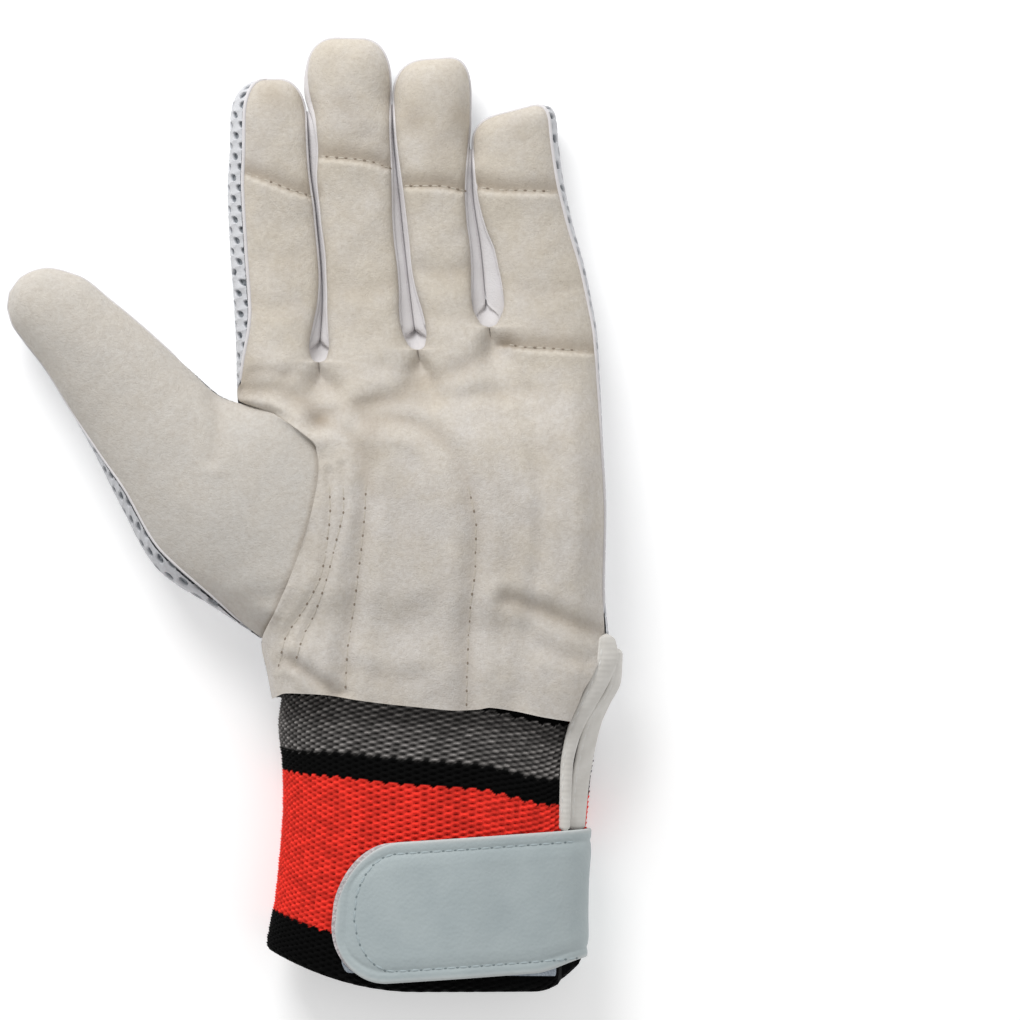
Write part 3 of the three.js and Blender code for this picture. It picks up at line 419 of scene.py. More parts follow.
def palm_relief(x, y):
    """Height that the padding and the stitches give the palm leather, and how dark each place is.

    A row across a finger is a step: the leather rises steeply below it in small scallops, onto a swollen
    pad, and sinks gently towards it from above. It is painted darker just above the row and less dark on
    the pad, as painted shade from light that comes from the fingertips. Other rows and creases are soft
    valleys, painted darker along their lines as painted shade, and a sum of long waves of fixed phase
    leaves the leather a little uneven and its colour a little uneven at random.
    """
    height = 0.3 * np.sin(x / 5.1 + 1.3 * np.sin(y / 9.0)) * np.cos(y / 6.3 + 0.9 * np.sin(x / 11.0 + 1.0))
    height = height + 0.12 * np.sin(x / 1.9 + 1.1 * np.sin(y / 4.1 + 2.0)) * np.sin(y / 2.6 + np.sin(x / 5.0))
    dark = 0.1 * np.sin(x / 4.3 + 2.0 * np.sin(y / 7.7)) * np.sin(y / 5.9 + 1.5 * np.sin(x / 8.3))
    for row in FINGER_ROWS:
        beside = smooth(row[0, 0] - 5, row[0, 0], x) * smooth(row[-1, 0] + 5, row[-1, 0], x)
        above = y - np.interp(x, row[:, 0], row[:, 1]) + 0.35 * np.abs(np.sin(np.pi * x / SCALLOP))
        steep = np.exp(-(above / 0.8) ** 2)
        swollen = 0.75 * (1 - steep) * np.exp(-(above / 6.0) ** 2)
        sunk = np.where(above > 0, -0.9 * np.exp(-(above / 3.2) ** 2), swollen - 0.9 * steep)
        height = height + beside * sunk
        # Painted shade: darker just above the row, less dark on the swollen pad below it
        shaded = np.where(above > 0, 0.75 * np.exp(-(above / 4.2) ** 2), 0.75 * steep - 0.45 * swollen)
        dark = dark + beside * shaded
    for rows, (depth, reach) in [(SEAM_ROWS, SEAM_VALLEY), (QUILT_ROWS, QUILT_VALLEY)]:
        for row in rows:
            gap = distance(x, y, row)
            height = height + valley(gap, depth, reach)
            # Painted shade along the valley of each seam and quilting row
            dark = dark + 0.2 * depth * np.exp(-(gap / (0.7 * reach)) ** 2)
    for path, depth, reach, tone in CREASES:
        gap = distance(x, y, path)
        height = height + 0.72 * valley(gap, depth, reach)
        # Painted shade along each crease
        dark = dark + 0.6 * tone * np.exp(-(gap / (1.1 * reach)) ** 2)
    # Soil on the fingers near their tips, and painted shade lower on the palm
    for at_x, at_y, radius, tone in PATCHES:
        dark = dark + tone * np.exp(-((x - at_x) ** 2 + (y - at_y) ** 2) / radius ** 2)
    return height, np.clip(dark, -0.5, 1)


def from_ends(count):
    """How many steps each of a row of places lies from the nearer end: 0, 1, 2 and so on, back to 0."""
    return np.minimum(np.arange(count), np.arange(count)[::-1])


def linear(code):
    """Linear red, green and blue with alpha from an sRGB hex colour."""
    s = np.array([int(code[i:i + 2], 16) / 255 for i in (1, 3, 5)])
    return (*np.where(s <= 0.04045, s / 12.92, ((s + 0.055) / 1.055) ** 2.4), 1)


def add(material, kind, settings=None, **inputs):
    """Adds one node to a material with its settings. An input is a value, an sRGB hex colour, or another
    node's output to link. Inputs are named as on the node with _ for a space, or i and their number."""
    node = material.node_tree.nodes.new("ShaderNode" + kind)
    for key, value in (settings or {}).items():
        setattr(node, key, value)
    for key, value in inputs.items():
        socket = node.inputs[int(key[1:]) if key[1:].isdigit() else key.replace("_", " ")]
        if isinstance(value, bpy.types.NodeSocket):
            material.node_tree.links.new(value, socket)
        else:
            socket.default_value = linear(value) if isinstance(value, str) else value
    return node


def finish(name, roughness, sheen=0.0, specular=0.5, **constants):
    """A new material for a named finish, with its shader's constants."""
    material = bpy.data.materials.new(name)
    material.use_nodes = True
    shader = material.node_tree.nodes["Principled BSDF"]
    shader.inputs["Roughness"].default_value = roughness
    shader.inputs["Sheen Weight"].default_value = sheen
    shader.inputs["Sheen Roughness"].default_value = 0.5
    shader.inputs["Specular IOR Level"].default_value = specular
    for key, value in constants.items():
        shader.inputs[key.replace("_", " ")].default_value = value
    return material


def wired(material, colour, bump=None):
    """The material, its colour and its bump, if it has one, linked to its shader."""
    shader = material.node_tree.nodes["Principled BSDF"]
    material.node_tree.links.new(colour, shader.inputs["Base Color"])
    if bump:
        material.node_tree.links.new(bump.outputs[0], shader.inputs["Normal"])
    return material


# Settings of a mixer of colours, which takes a factor as input 0 and the two colours as 6 and 7, and of a
# sum or product held between 0 and 1
MIX = {"data_type": "RGBA"}
SUM, PRODUCT = ({"operation": kind, "use_clamp": True} for kind in ("ADD", "MULTIPLY"))
# A wave texture of scale per(size) / WAVE has bands about two sizes apart
WAVE = 6.28


def per(size):
    """Scale of a noise whose grains are about size millimetres, on coordinates in metres."""
    return 1 / (size * MM)


def chamois(name, warm, cool, shade):
    """Oil-tanned chamois: matt, with a soft nap, cloudy colour from warm to cool that pales towards the
    wrist, random brown flecks, and brown painted in by the shade attribute: painted shade in its creases,
    valleys and by its rows of stitches, and soil."""
    material = finish(name, 0.95, sheen=0.12, specular=0.15)
    place = add(material, "TexCoord").outputs["Object"]
    split = add(material, "SeparateXYZ", Vector=place)
    height = add(material, "MapRange", Value=split.outputs["Y"], From_Min=0.06, From_Max=0.0, To_Min=-0.25,
                 To_Max=0.3)
    clouds = add(material, "TexNoise", Vector=place, Scale=per(13), Detail=5.0, Roughness=0.65)
    flecks = add(material, "TexNoise", Vector=place, Scale=per(1.4), Detail=6.0, Roughness=0.75)
    nap = add(material, "TexNoise", Vector=place, Scale=per(0.5), Detail=3.0, Roughness=0.6)
    cloudy = add(material, "MapRange", Value=clouds.outputs[0], From_Min=0.3, From_Max=0.7)
    both = add(material, "Math", SUM, i0=cloudy.outputs[0], i1=height.outputs[0])
    colour = add(material, "Mix", MIX, i0=both.outputs[0], i6=warm, i7=cool).outputs[2]
    flecked = add(material, "MapRange", Value=flecks.outputs[0], From_Min=0.35, From_Max=0.75, To_Max=0.4)
    colour = add(material, "Mix", MIX, i0=flecked.outputs[0], i6=colour, i7=shade).outputs[2]
    # Painted shade of creases, valleys and rows, with soil at the fingertips, from the shade attribute
    crease = add(material, "Attribute", {"attribute_name": "shade"})
    darker = add(material, "Math", PRODUCT, i0=crease.outputs["Fac"], i1=0.8)
    colour = add(material, "Mix", MIX, i0=darker.outputs[0], i6=colour, i7=shade).outputs[2]
    bump = add(material, "Bump", Strength=0.5, Distance=0.35 * MM, Height=nap.outputs[0])
    coarse = add(material, "Bump", Strength=0.45, Distance=0.7 * MM, Height=flecks.outputs[0],
                 Normal=bump.outputs[0])
    return wired(material, colour, coarse)


LEATHER_STEP = 0.62
LEATHER_COLUMNS = 35
patches = []
for lobe in range(4):
    y, turn = lobe_rows(PALM, lobe, LEATHER_STEP, 14)
    share = np.linspace(0, 1, LEATHER_COLUMNS + 1)[None, :]
    outer = hand_surface(PALM, lobe, y, turn, share, 0)
    inner = hand_surface(PALM, lobe, y, turn, share, LEATHER_THICKNESS)
    height, dark = palm_relief(outer[..., 0], outer[..., 1])
    open_left = 1 if lobe == 0 else smooth(0, 4, y - SLITS[lobe - 1][0])
    open_right = 1 if lobe == 3 else smooth(0, 4, y - SLITS[lobe][0])
    fade = (1 - open_left * smooth(0.12, 0, share)) * (1 - open_right * smooth(0.88, 1, share))
    lifted = (height * fade * np.cos(turn) ** 0.5)[..., None] * UP
    patches.append((outer + lifted, inner + lifted, dark[..., None]))
points, faces, values = wall(patches)
# The third colour is the brown of the flecks, of the painted shade and of the soil
napped = chamois("napped chamois leather", "#d0c8bb", "#d4cfc9", "#9b8d7c")
palm_leather = piece("palm_leather", points, faces, napped, "palm_panel", {"shade": values[:, 0]})

# Thumb leather
# A second piece of the same chamois covers the ball and the front of the thumb. Its inner edge is tucked
# under the palm leather along the seam, and folds over it at the web beside the index finger.

# Sections from the base to the tip: low x, y, palm-side high x, y, back high x, y, middle, rise, drop, turn
THUMB = [
    (-16.2, -36, -5.2, 24.2, -22.4, 32.2, 14.5, 16.8, 12.5, 0),
    (-28.7, -27.3, -13, 29.8, -24.5, 33, 14.3, 16.6, 12.8, 0.35),
    (-45.5, -15.7, -26.5, 33.8, -27.5, 34.4, 13.8, 14.8, 13.0, 0.6),
    (-55.5, 1.5, -36, 41.8, -36, 41.8, 13.4, 13.2, 12.9, 0.6),
    (-64.1, 18.6, -47.6, 52.5, -47.6, 52.5, 13, 12.2, 12.7, 0.35),
    (-71.5, 31.5, -58.5, 61.6, -58.5, 61.6, 12.7, 11.6, 12.4, 0.15),
    (-78, 42.3, -68.4, 69, -68.4, 69, 12.4, 11.2, 11.8, 0.05),
    (-83.8, 49.9, -77.5, 71.3, -77.5, 71.3, 12.1, 9.8, 10, 0.05),
    (-87.6, 55.5, -84.5, 69, -84.5, 69, 12, 6.6, 6.8, 0.05),
    (-88.9, 60, -88.3, 64.4, -88.3, 64.4, 12, 0.8, 0.8, 0),
]
# The sections before this one are drawn to the hand's edge
THUMB_ROOTS = 2
THUMB_TIP = len(THUMB) - 1
# The leather goes in under the palm's edge by its tuck, and the mesh stops just short of the hand's mesh
LEATHER_TUCK, MESH_TUCK = 2.2, -0.3
THUMB_SQUARE = 0.8
# Sections over which depth turns at the tip from inwards across the thumb to back along it
TIP_FLAT, TIP_BACK = (9, 7.6), (7.2, 9)
numbered = [(number, *row) for number, row in enumerate(THUMB)]
thumb_low, thumb_palm, thumb_back = ((track(numbered, i), track(numbered, i + 1)) for i in (1, 3, 5))
thumb_mid, thumb_rise, thumb_drop, thumb_turn = (track(numbered, i) for i in (7, 8, 9, 10))


def thumb_surface(side, s, share, depth, tuck, step):
    """Half of the thumb as whole arrays: s runs from the base to the tip, share from the lower edge round.

    Each section is a flattened half tube between a low and a high point of the outline. Near the base it
    is drawn to the hand's edge: tuck is how far it goes in under that edge, step how far it lies below it.
    """
    sign, high_x, high_y = side["sign"], *(thumb_palm if side["sign"] > 0 else thumb_back)
    low = np.stack([thumb_low[0](s), thumb_low[1](s)], -1)
    high = np.stack([high_x(s), high_y(s)], -1)
    width = np.linalg.norm(high - low, axis=-1, keepdims=True)
    across = (high - low) / width
    joined = 1 - smooth(0, THUMB_ROOTS, s)
    inset = np.minimum(depth, width * 0.3)
    low = low + across * inset
    high = high - across * inset * (1 - joined)[..., None]
    first = sign * thumb_turn(s) + 0.03
    angle = first + (np.pi - first) * share
    along = (1 - np.cos(angle)) / 2
    at = low + (high - low) * along[..., None]
    root = np.clip(1 - s / THUMB_ROOTS, 0, 1) ** 2
    base_low, base_high = THUMB[0][0:2], (high_x(0.0), high_y(0.0))
    seam_y = base_low[1] + (base_high[1] - base_low[1]) * along
    seam_x = side["left"](seam_y) + tuck * np.sin(np.clip(along, 0, 1) * np.pi) ** 0.5
    x = at[..., 0] + root * (seam_x - base_low[0] - (base_high[0] - base_low[0]) * along)
    over = np.where(np.sin(angle) >= 0, sign, -sign)
    reach = np.where(over > 0, thumb_rise(s), thumb_drop(s)) - depth * smooth(*TIP_FLAT, s)
    reach = np.maximum(reach, 0.02)
    bend = np.abs(np.sin(angle)) ** np.where(over > 0, THUMB_SQUARE, BACK_SQUARE)
    lift = np.maximum(0, -np.cos(angle)) * joined * (0.9 if sign > 0 else 0.2)
    own = thumb_mid(s) + over * (reach * (bend + (1 - bend) * lift) + HALF_SEAM)
    edge = hand_surface(side, 0, seam_y, 0 * seam_y, 0.0, depth)[..., 2] - sign * step(seam_y)
    inward = depth * smooth(*TIP_BACK, s)
    z = own + (edge - own) * root
    return np.stack(np.broadcast_arrays(x + inward * 0.8, at[..., 1] - inward * 0.55, z), -1)


def palm_seam_step(y):
    """The thumb leather lies a little below the palm's edge, and rises over it at the web."""
    return 1.5 - 2.2 * smooth(20, 29, y)


def thumb_relief(x, y):
    """Slight unevenness of the thumb's leather, one soft fold near the web and a few near the base, and how
    dark each place is: painted shade in the folds, and a painted shadow along the seam under the palm's edge.
    """
    height = 0.2 * np.sin(x / 6.0 + np.sin(y / 8.0)) * np.cos(y / 7.0 + 0.8 * np.sin(x / 9.0))
    height = height + 0.07 * np.sin(x / 2.1 + np.sin(y / 3.7)) * np.sin(y / 2.3 + np.sin(x / 4.0))
    dark = np.zeros(np.shape(x))
    for path, depth, reach, tone in [
        (line([(-29, 33), (-27.5, 28), (-27.8, 22), (-29, 16)]), 0.6, 1.8, 0.12),
        (line([(-20, -25), (-12, -24), (-5, -21.5)]), 0.5, 2.6, 0.15),
        (line([(-14, -33), (-9, -32), (-5, -29)]), 0.4, 2.2, 0.2),
    ]:
        gap = distance(x, y, path)
        height = height + valley(gap, depth, reach)
        # Painted shade in each fold
        dark = dark + tone * np.exp(-(gap / reach) ** 2)
    # Painted shadow: a dark line along the seam, where the thumb's leather goes in under the palm's edge
    seam = distance(x, y, np.stack([PALM["left"](np.linspace(-36, 20, 30)), np.linspace(-36, 20, 30)], -1))
    return height, np.clip(dark + 0.8 * np.exp(-(seam / 0.7) ** 2), 0, 1)


s = np.linspace(0, THUMB_TIP, 150)[:, None]
share = np.linspace(0, 1, 91)[None, :]
outer, inner = (thumb_surface(PALM, s, share, depth, LEATHER_TUCK, palm_seam_step)
                for depth in (0, LEATHER_THICKNESS))
height, dark = thumb_relief(outer[..., 0], outer[..., 1])
fade = smooth(0, 8, from_ends(share.shape[1])) * smooth(THUMB_TIP, THUMB_TIP - 1, s)
lifted = (height * fade)[..., None] * UP
points, faces, values = wall([(outer + lifted, inner + lifted, dark[..., None])])
# The third colour is the brown of the flecks, of the painted shade in the folds and of the painted shadow at
# the seam
pale = chamois("pale chamois leather", "#cbc5bc", "#cac6c0", "#9c8f80")
piece("thumb_leather", points, faces, pale, "thumb_palm_panel", {"shade": values[:, 0]})

# Mesh back
# White warp-knitted air mesh covers the back of the hand and of the fingers and comes round the index
# finger's side. Oval holes go through its face, over a grey inner layer that is sewn in with it.

MESH_DEPTH = 1.0
# Distance between the holes of a row and between the rows, and length and width of a hole
HOLE_PITCH = 5.7
HOLE_ROWS = 3.05
HOLE_SIZE = (2.7, 2.1)
# How far the two faces of the inner layer lie under the mesh's face, on the hand and on the thumb
HAND_LINING, THUMB_LINING = (MESH_DEPTH - 0.1, MESH_DEPTH + 0.6), (0.9, 1.6)
# y, x of the left edge of the mesh back, straight down from the web to the wrist
BACK_LEFT = [
    (-53, -12.2), (-45, -13.8), (-38, -15.2), (0, -18.5), (33.5, -22.2), (49, -22.6), (62, -23.3),
    (77, -24.4), (95, -25.1), (106, -24.5), (138, -24.0),
]
BACK = {"sign": -1, "left": track(BACK_LEFT), "little": track(EDGE_TURN, 3), "end": 1, "grown": 14,
        "web": (35, 30), "lips": [[track(rows, 1), track(rows, 2)] for rows in NO_LIPS]}


def hole_tile():
    """One cell of the mesh in units of its width and height: rings of 16 points from the cell's border
    over the rounded lip and the edge of a slanted oval hole down its wall, with how deep each ring lies."""
    top = np.stack([np.linspace(-0.5, 0.5, 7)[:-1], np.full(6, 0.5)], -1)
    side = np.array([(0.5, 0.5), (0.5, 0.0)])
    border = np.concatenate([top, side, -top, -side])
    angle = np.arctan2(border[:, 1] * HOLE_ROWS, border[:, 0] * HOLE_PITCH)
    oval = np.stack([np.cos(angle) * HOLE_SIZE[0] / 2, np.sin(angle) * HOLE_SIZE[1] / 2], -1)
    oval[:, 0] += 0.25 * oval[:, 1]
    oval = oval / [HOLE_PITCH, HOLE_ROWS]
    rings = [border, oval * 1.22, oval, oval * 0.97]
    return np.stack(rings), np.array([0.0, -0.12, 0.18, MESH_DEPTH])


def perforated(grid, inward, along, left, right):
    """The mesh over one grid of surface points, as points, faces and how deep each point lies.

    Cells stand in staggered rows over flat coordinates: distance across in the plan of the cloth, between
    the left and right border of each row of the grid, and distance along it. A point outside the borders
    moves onto them, and a face that has all its points there is dropped. Flat places are looked up in
    the grid between its four nearest points and moved in along the surface's normal.
    """
    rows = np.arange(np.floor(along[0] / HOLE_ROWS), np.ceil(along[-1] / HOLE_ROWS) + 1)
    columns = np.arange(np.floor(left.min() / HOLE_PITCH) - 1, np.ceil(right.max() / HOLE_PITCH) + 2)
    rings, depths = hole_tile()
    row, column = (part.ravel() for part in np.meshgrid(rows, columns, indexing="ij"))
    flat_x = (column + 0.5 * (row % 2))[:, None, None] + rings[None, :, :, 0]
    flat_y = row[:, None, None] + rings[None, :, :, 1]
    flat_x, flat_y = flat_x * HOLE_PITCH, flat_y * HOLE_ROWS
    held_y = np.clip(flat_y, along[0], along[-1])
    low, high = np.interp(held_y, along, left), np.interp(held_y, along, right)
    beyond = np.where(flat_x < low, 1, np.where(flat_x > high, 2, 0))
    beyond = np.where(held_y != flat_y, 3, beyond)
    part = (np.clip(flat_x, low, high) - low) / np.maximum(high - low, 1e-6) * (grid.shape[1] - 1)
    step = np.interp(held_y, along, np.arange(len(along)))
    r, c = np.minimum(step.astype(int), grid.shape[0] - 2), np.minimum(part.astype(int), grid.shape[1] - 2)
    fr, fc = (step - r)[..., None], (part - c)[..., None]

    def look_up(table):
        lower = table[r, c] * (1 - fc) + table[r, c + 1] * fc
        upper = table[r + 1, c] * (1 - fc) + table[r + 1, c + 1] * fc
        return lower * (1 - fr) + upper * fr

    depth = np.broadcast_to(depths[None, :, None], flat_x.shape)
    points = look_up(grid) + look_up(inward) * depth[..., None]
    faces = neighbours(np.arange(flat_x.size).reshape(flat_x.shape), closed=True)
    state = beyond.ravel()[faces]
    outside = (state.min(1) == state.max(1)) & (state[:, 0] > 0)
    return points.reshape(-1, 3), faces[~outside], depth.ravel()


def even_rows(grid):
    """A grid with the points of each row moved to even distances along it."""
    steps = np.linalg.norm(np.diff(grid, axis=1), axis=-1)
    reach = np.concatenate([np.zeros((len(grid), 1)), np.cumsum(steps, 1)], 1)
    even = [np.stack([np.interp(np.linspace(0, far[-1], len(far)), far, row[:, i]) for i in range(3)], -1)
            for far, row in zip(reach, grid)]
    return np.array(even), reach[:, -1]


def merged(parts):
    """Parts of a mesh as one: points that meet become one, unused points and empty faces are dropped."""
    starts = np.cumsum([0] + [len(part[0]) for part in parts[:-1]])
    points = np.concatenate([part[0] for part in parts])
    faces = np.concatenate([part[1] + start for part, start in zip(parts, starts)])
    values = np.concatenate([part[2] for part in parts])
    kept, number = same(points, 500)
    faces = number[faces]
    ordered = np.sort(faces, 1)
    faces = faces[(np.diff(ordered, axis=1) > 0).sum(1) > 1]
    used, faces = np.unique(faces, return_inverse=True)
    return points[kept][used], faces.reshape(-1, 4), values[kept][used]


def faced_down(points, faces):
    """Faces turned so that most of them look down."""
    a, b, c = (points[faces[:, i]] for i in range(3))
    return faces[:, ::-1] if np.cross(b - a, c - a)[:, 2].sum() > 0 else faces


def air_mesh():
    """Warp-knitted polyester: bright, slightly glossy white faces, finely knitted, painted grey down the
    walls of the holes as painted shade.
    """
    material = finish("warp-knitted polyester mesh", 0.62, sheen=0.15, specular=0.4)
    place = add(material, "TexCoord").outputs["Object"]
    deep = add(material, "Attribute", {"attribute_name": "deep"}).outputs["Fac"]
    wear = add(material, "TexNoise", Vector=place, Scale=per(14), Detail=4.0)
    colour = add(material, "Mix", MIX, i0=wear.outputs[0], i6="#bcbdc1", i7="#d2d3d6").outputs[2]
    # Painted shade: the walls of the holes turn grey with their depth
    into = add(material, "MapRange", Value=deep, From_Min=0.1, From_Max=MESH_DEPTH)
    colour = add(material, "Mix", MIX, i0=into.outputs[0], i6=colour, i7="#8a8f94").outputs[2]
    knit = add(material, "TexVoronoi", Vector=place, Scale=per(0.55))
    bump = add(material, "Bump", Strength=0.45, Distance=0.2 * MM, Height=knit.outputs[0])
    return wired(material, colour, bump)


def mesh_lining():
    """The grey inner layer: a fine open tricot, whose threads cross as a small grid over dark foam."""
    material = finish("grey tricot backing", 0.85, specular=0.3)
    place = add(material, "TexCoord").outputs["Object"]
    slanted = add(material, "Mapping", Vector=place, Rotation=(0, 0, np.radians(38)))
    one, two = (add(material, "TexWave", {"bands_direction": way}, Vector=slanted.outputs[0],
                    Scale=per(0.7) / WAVE).outputs["Fac"] for way in "XY")
    threads = add(material, "Math", {"operation": "MAXIMUM"}, i0=one, i1=two)
    colour = add(material, "Mix", MIX, i0=threads.outputs[0], i6="#5d6167", i7="#9a9ea3").outputs[2]
    bump = add(material, "Bump", Strength=0.5, Distance=0.2 * MM, Height=threads.outputs[0])
    return wired(material, colour, bump)


white_mesh, grey_lining = air_mesh(), mesh_lining()
lining_share = np.linspace(0, 1, 25)[None, :]
parts, linings = [], []
for lobe in range(4):
    y, turn = lobe_rows(BACK, lobe, 1.5, 10)
    share = np.linspace(0, 1, 61)[None, :]
    grid, reach = even_rows(hand_surface(BACK, lobe, y, turn, share, 0))
    inward = normals(grid)
    inward = inward * np.sign(inward[20, 30, 2])
    tips = np.cumsum(np.linalg.norm(np.diff(grid[:, 30], axis=0), axis=1) * (turn[1:, 0] > 0))
    along = y[:, 0] + np.concatenate([[0], tips])
    centre = (grid[:, 0, 0] + grid[:, -1, 0]) / 2
    left, right = centre - reach / 2, centre + reach / 2
    if lobe > 0:
        left = np.where(y[:, 0] <= SLITS[lobe - 1][1], slit_middles[lobe - 1](y[:, 0]), left)
    if lobe < 3:
        right = np.where(y[:, 0] <= SLITS[lobe][1], slit_middles[lobe](y[:, 0]), right)
    parts.append(perforated(grid, inward, along, left, right))
    linings.append([hand_surface(BACK, lobe, y, turn, lining_share, depth) for depth in HAND_LINING])
points, faces, depth = merged(parts)
piece("back_mesh", points, faced_down(points, faces), white_mesh, "back_panel", {"deep": depth},
      crease=70, closed=False)
points, faces = plain_wall(*linings)
piece("back_lining", points, faces, grey_lining)

# Mesh back of the thumb
# The same mesh covers the back of the thumb and comes round its lower side to meet the thumb's leather.


def no_step(y):
    """The mesh of the thumb lies a little inside that of the hand, and meets it edge to edge."""
    return 0.4 + 0 * y


s = np.linspace(0, THUMB_TIP, 110)[:, None]
share = np.linspace(0, 1, 61)[None, :]
grid, reach = even_rows(thumb_surface(BACK, s, share, 0, MESH_TUCK, no_step))
inward = normals(grid)
inward = inward * np.sign(inward[30, 30, 2])
along = np.concatenate([[0], np.cumsum(np.linalg.norm(np.diff(grid[:, 30], axis=0), axis=1))])
points, faces, depth = merged([perforated(grid, inward, along, -reach / 2, reach / 2)])
piece("thumb_mesh", points, faced_down(points, faces), white_mesh, "thumb_back_panel",
      {"deep": depth}, crease=70, closed=False)
points, faces = plain_wall([thumb_surface(BACK, s[::3], lining_share, depth, MESH_TUCK, no_step)
                            for depth in THUMB_LINING])
piece("thumb_lining", points, faces, grey_lining)

# Jersey strips between the fingers
# A strip of smooth white jersey joins the palm side of each finger to its back, runs down one finger,
# round the end of the slit and up the next, and shows as a white rounded gusset at the crotch.

JERSEY_THICKNESS = 0.9
# Least length of the gusset above a slit's end on the palm, the radius of a strip's bend and its share of the
# strip, and the length at the slit's end where the legs stay apart
GUSSET_LENGTH = 10.8
BEND_RADIUS, BEND_PART = 4.0, 0.3
OPEN_PART = 3.6
STRIP_NAMES = ["index_middle", "middle_ring", "ring_little"]


def strip_surface(slit, along, level, depth):
    """A U seen from above: two legs beside the fingers and a round bend between them.

    along runs from -1 over the bend at 0 to 1, level from the palm to the back. The bottom slopes from
    the slit's end on the palm to its end on the back, and bulges where these are close to each other. On
    the palm the legs start at the leather's edges, and below them they swell until they touch.
    """
    palm_end, back_end, strip, _ = SLITS[slit]
    bulge = max(0, GUSSET_LENGTH - back_end + palm_end) * np.sin(np.pi * level)
    bottom = palm_end + 0.2 + (back_end - palm_end - 0.6) * level ** 1.4 + bulge
    steps = np.abs(along)
    turned = np.clip(steps / BEND_PART, 0, 1) * np.pi / 2
    leg = np.clip((steps - BEND_PART) / (1 - BEND_PART), 0, 1)
    leg_y = bottom + BEND_RADIUS + (strip + 6 - bottom - BEND_RADIUS) * leg
    in_bend = steps <= BEND_PART
    y = np.where(in_bend, bottom + BEND_RADIUS - (BEND_RADIUS + depth) * np.cos(turned), leg_y)
    left, right = (slit_gap(PALM, slit, lip, y) for lip in (0, 1))
    palm_width = np.where(along < 0, left, right) + 0.25
    back_width = np.where(in_bend, np.sin(turned) * slit_half(BEND_RADIUS), slit_half(leg_y - bottom))
    width = palm_width + (back_width - palm_width) * smooth(0, 0.6, level)
    width = np.where(in_bend, np.minimum(width, np.sin(turned) * slit_half(BEND_RADIUS) + 0.3), width)
    swell = np.sin(np.pi * np.clip(level, 0, 1) ** 0.6) ** 0.7
    swell = swell * smooth(OPEN_PART, 1.7 * OPEN_PART, y - palm_end)
    width = width * (1 - swell * np.where(in_bend, np.sin(turned), 1)) - 0.02 * swell
    out = width + depth * np.where(in_bend, np.sin(turned), 1)
    measured = np.maximum(y, palm_end)
    edge = SLIT_SHARE * (1 - smooth(strip, strip + SHARE_END, measured))
    high = body_mid(y) + body_rise(measured) * edge - 0.35 + 0 * level
    low = body_mid(y) - body_drop(measured) * edge + 0.5 + 0 * level
    x = slit_middles[slit](y) + np.sign(along) * out
    return np.stack(np.broadcast_arrays(x, y, high + (low - high) * level), -1)


def jersey():
    """Fine single jersey: soft white with a faint lilac tint, closely knitted, painted dark deep in the slits
    as painted shade.
    """
    material = finish("white cotton jersey", 0.8, sheen=0.15, specular=0.25)
    place = add(material, "TexCoord").outputs["Object"]
    soil = add(material, "TexNoise", Vector=place, Scale=per(7), Detail=3.0)
    colour = add(material, "Mix", MIX, i0=soil.outputs[0], i6="#ccc8c8", i7="#dedcde").outputs[2]
    # Painted shade deep in the slits, from the deep attribute
    deep = add(material, "Attribute", {"attribute_name": "deep"}).outputs["Fac"]
    colour = add(material, "Mix", MIX, i0=deep, i6=colour, i7="#3a332d").outputs[2]
    rib = add(material, "TexVoronoi", Vector=place, Scale=per(0.5))
    bump = add(material, "Bump", Strength=0.4, Distance=0.15 * MM, Height=rib.outputs[0])
    return wired(material, colour, bump)


white_jersey = jersey()
for slit, place_name in enumerate(STRIP_NAMES):
    along = np.linspace(-1, 1, 161)[:, None]
    level = np.linspace(0, 1, 17)[None, :]
    outer, inner = (strip_surface(slit, along, level, depth) for depth in (0, JERSEY_THICKNESS))
    # Painted shade: the middle of the slit's depth, away from the bend, where the legs nearly touch
    deep = smooth(0.2, 0.34, level) * smooth(0.8, 0.5, level) * smooth(0.2, 0.4, np.abs(along))
    points, faces, values = wall([(outer, inner, deep[..., None])])
    piece(f"jersey_strip_{place_name}", points, faces, white_jersey, f"fourchette_{place_name}",
          {"deep": values[:, 0]})

# Seam welts
# A narrow folded strip of the jersey is caught in the seam where the leather ends, all round each finger
# and along the outer sides of the hand and the thumb.

WELT_RADIUS, THUMB_WELT = 0.55, 0.7 * 0.55
# Number of points over which the end of a round strip or a tape closes
TAPER = 3
# The welt of the middle finger is rolled thicker beside its tip, on the index finger's side
ROLL_RADIUS, ROLL_Y = [0, 1.0, 0, 0], 120.5


def carried_round(path, radius, around=12):
    """Rings of a round strip carried along a path: a circle of the radius given for each point, across the
    path's direction there, smaller over the last few at both ends."""
    ahead = np.gradient(path, axis=0)
    ahead = ahead / np.maximum(np.linalg.norm(ahead, axis=1, keepdims=True), 1e-9)
    side = np.cross(ahead, UP)
    side = side / np.maximum(np.linalg.norm(side, axis=1, keepdims=True), 1e-9)
    up = np.cross(side, ahead)
    turn = np.linspace(0, 2 * np.pi, around + 1)[:-1]
    size = radius * np.ones(len(path)) * np.sqrt(np.clip(from_ends(len(path)) / TAPER, 0.02, 1))
    ring = np.cos(turn)[None, :, None] * side[:, None] + np.sin(turn)[None, :, None] * up[:, None]
    return path[:, None] + size[:, None, None] * ring


def tube(rings):
    """Points and faces of a tube of rings, each end closed with one face."""
    count, around = rings.shape[:2]
    number = np.arange(count * around).reshape(count, around)
    faces = neighbours(number, closed=True).tolist()
    return rings.reshape(-1, 3), faces + [number[0, ::-1].tolist(), number[-1].tolist()]


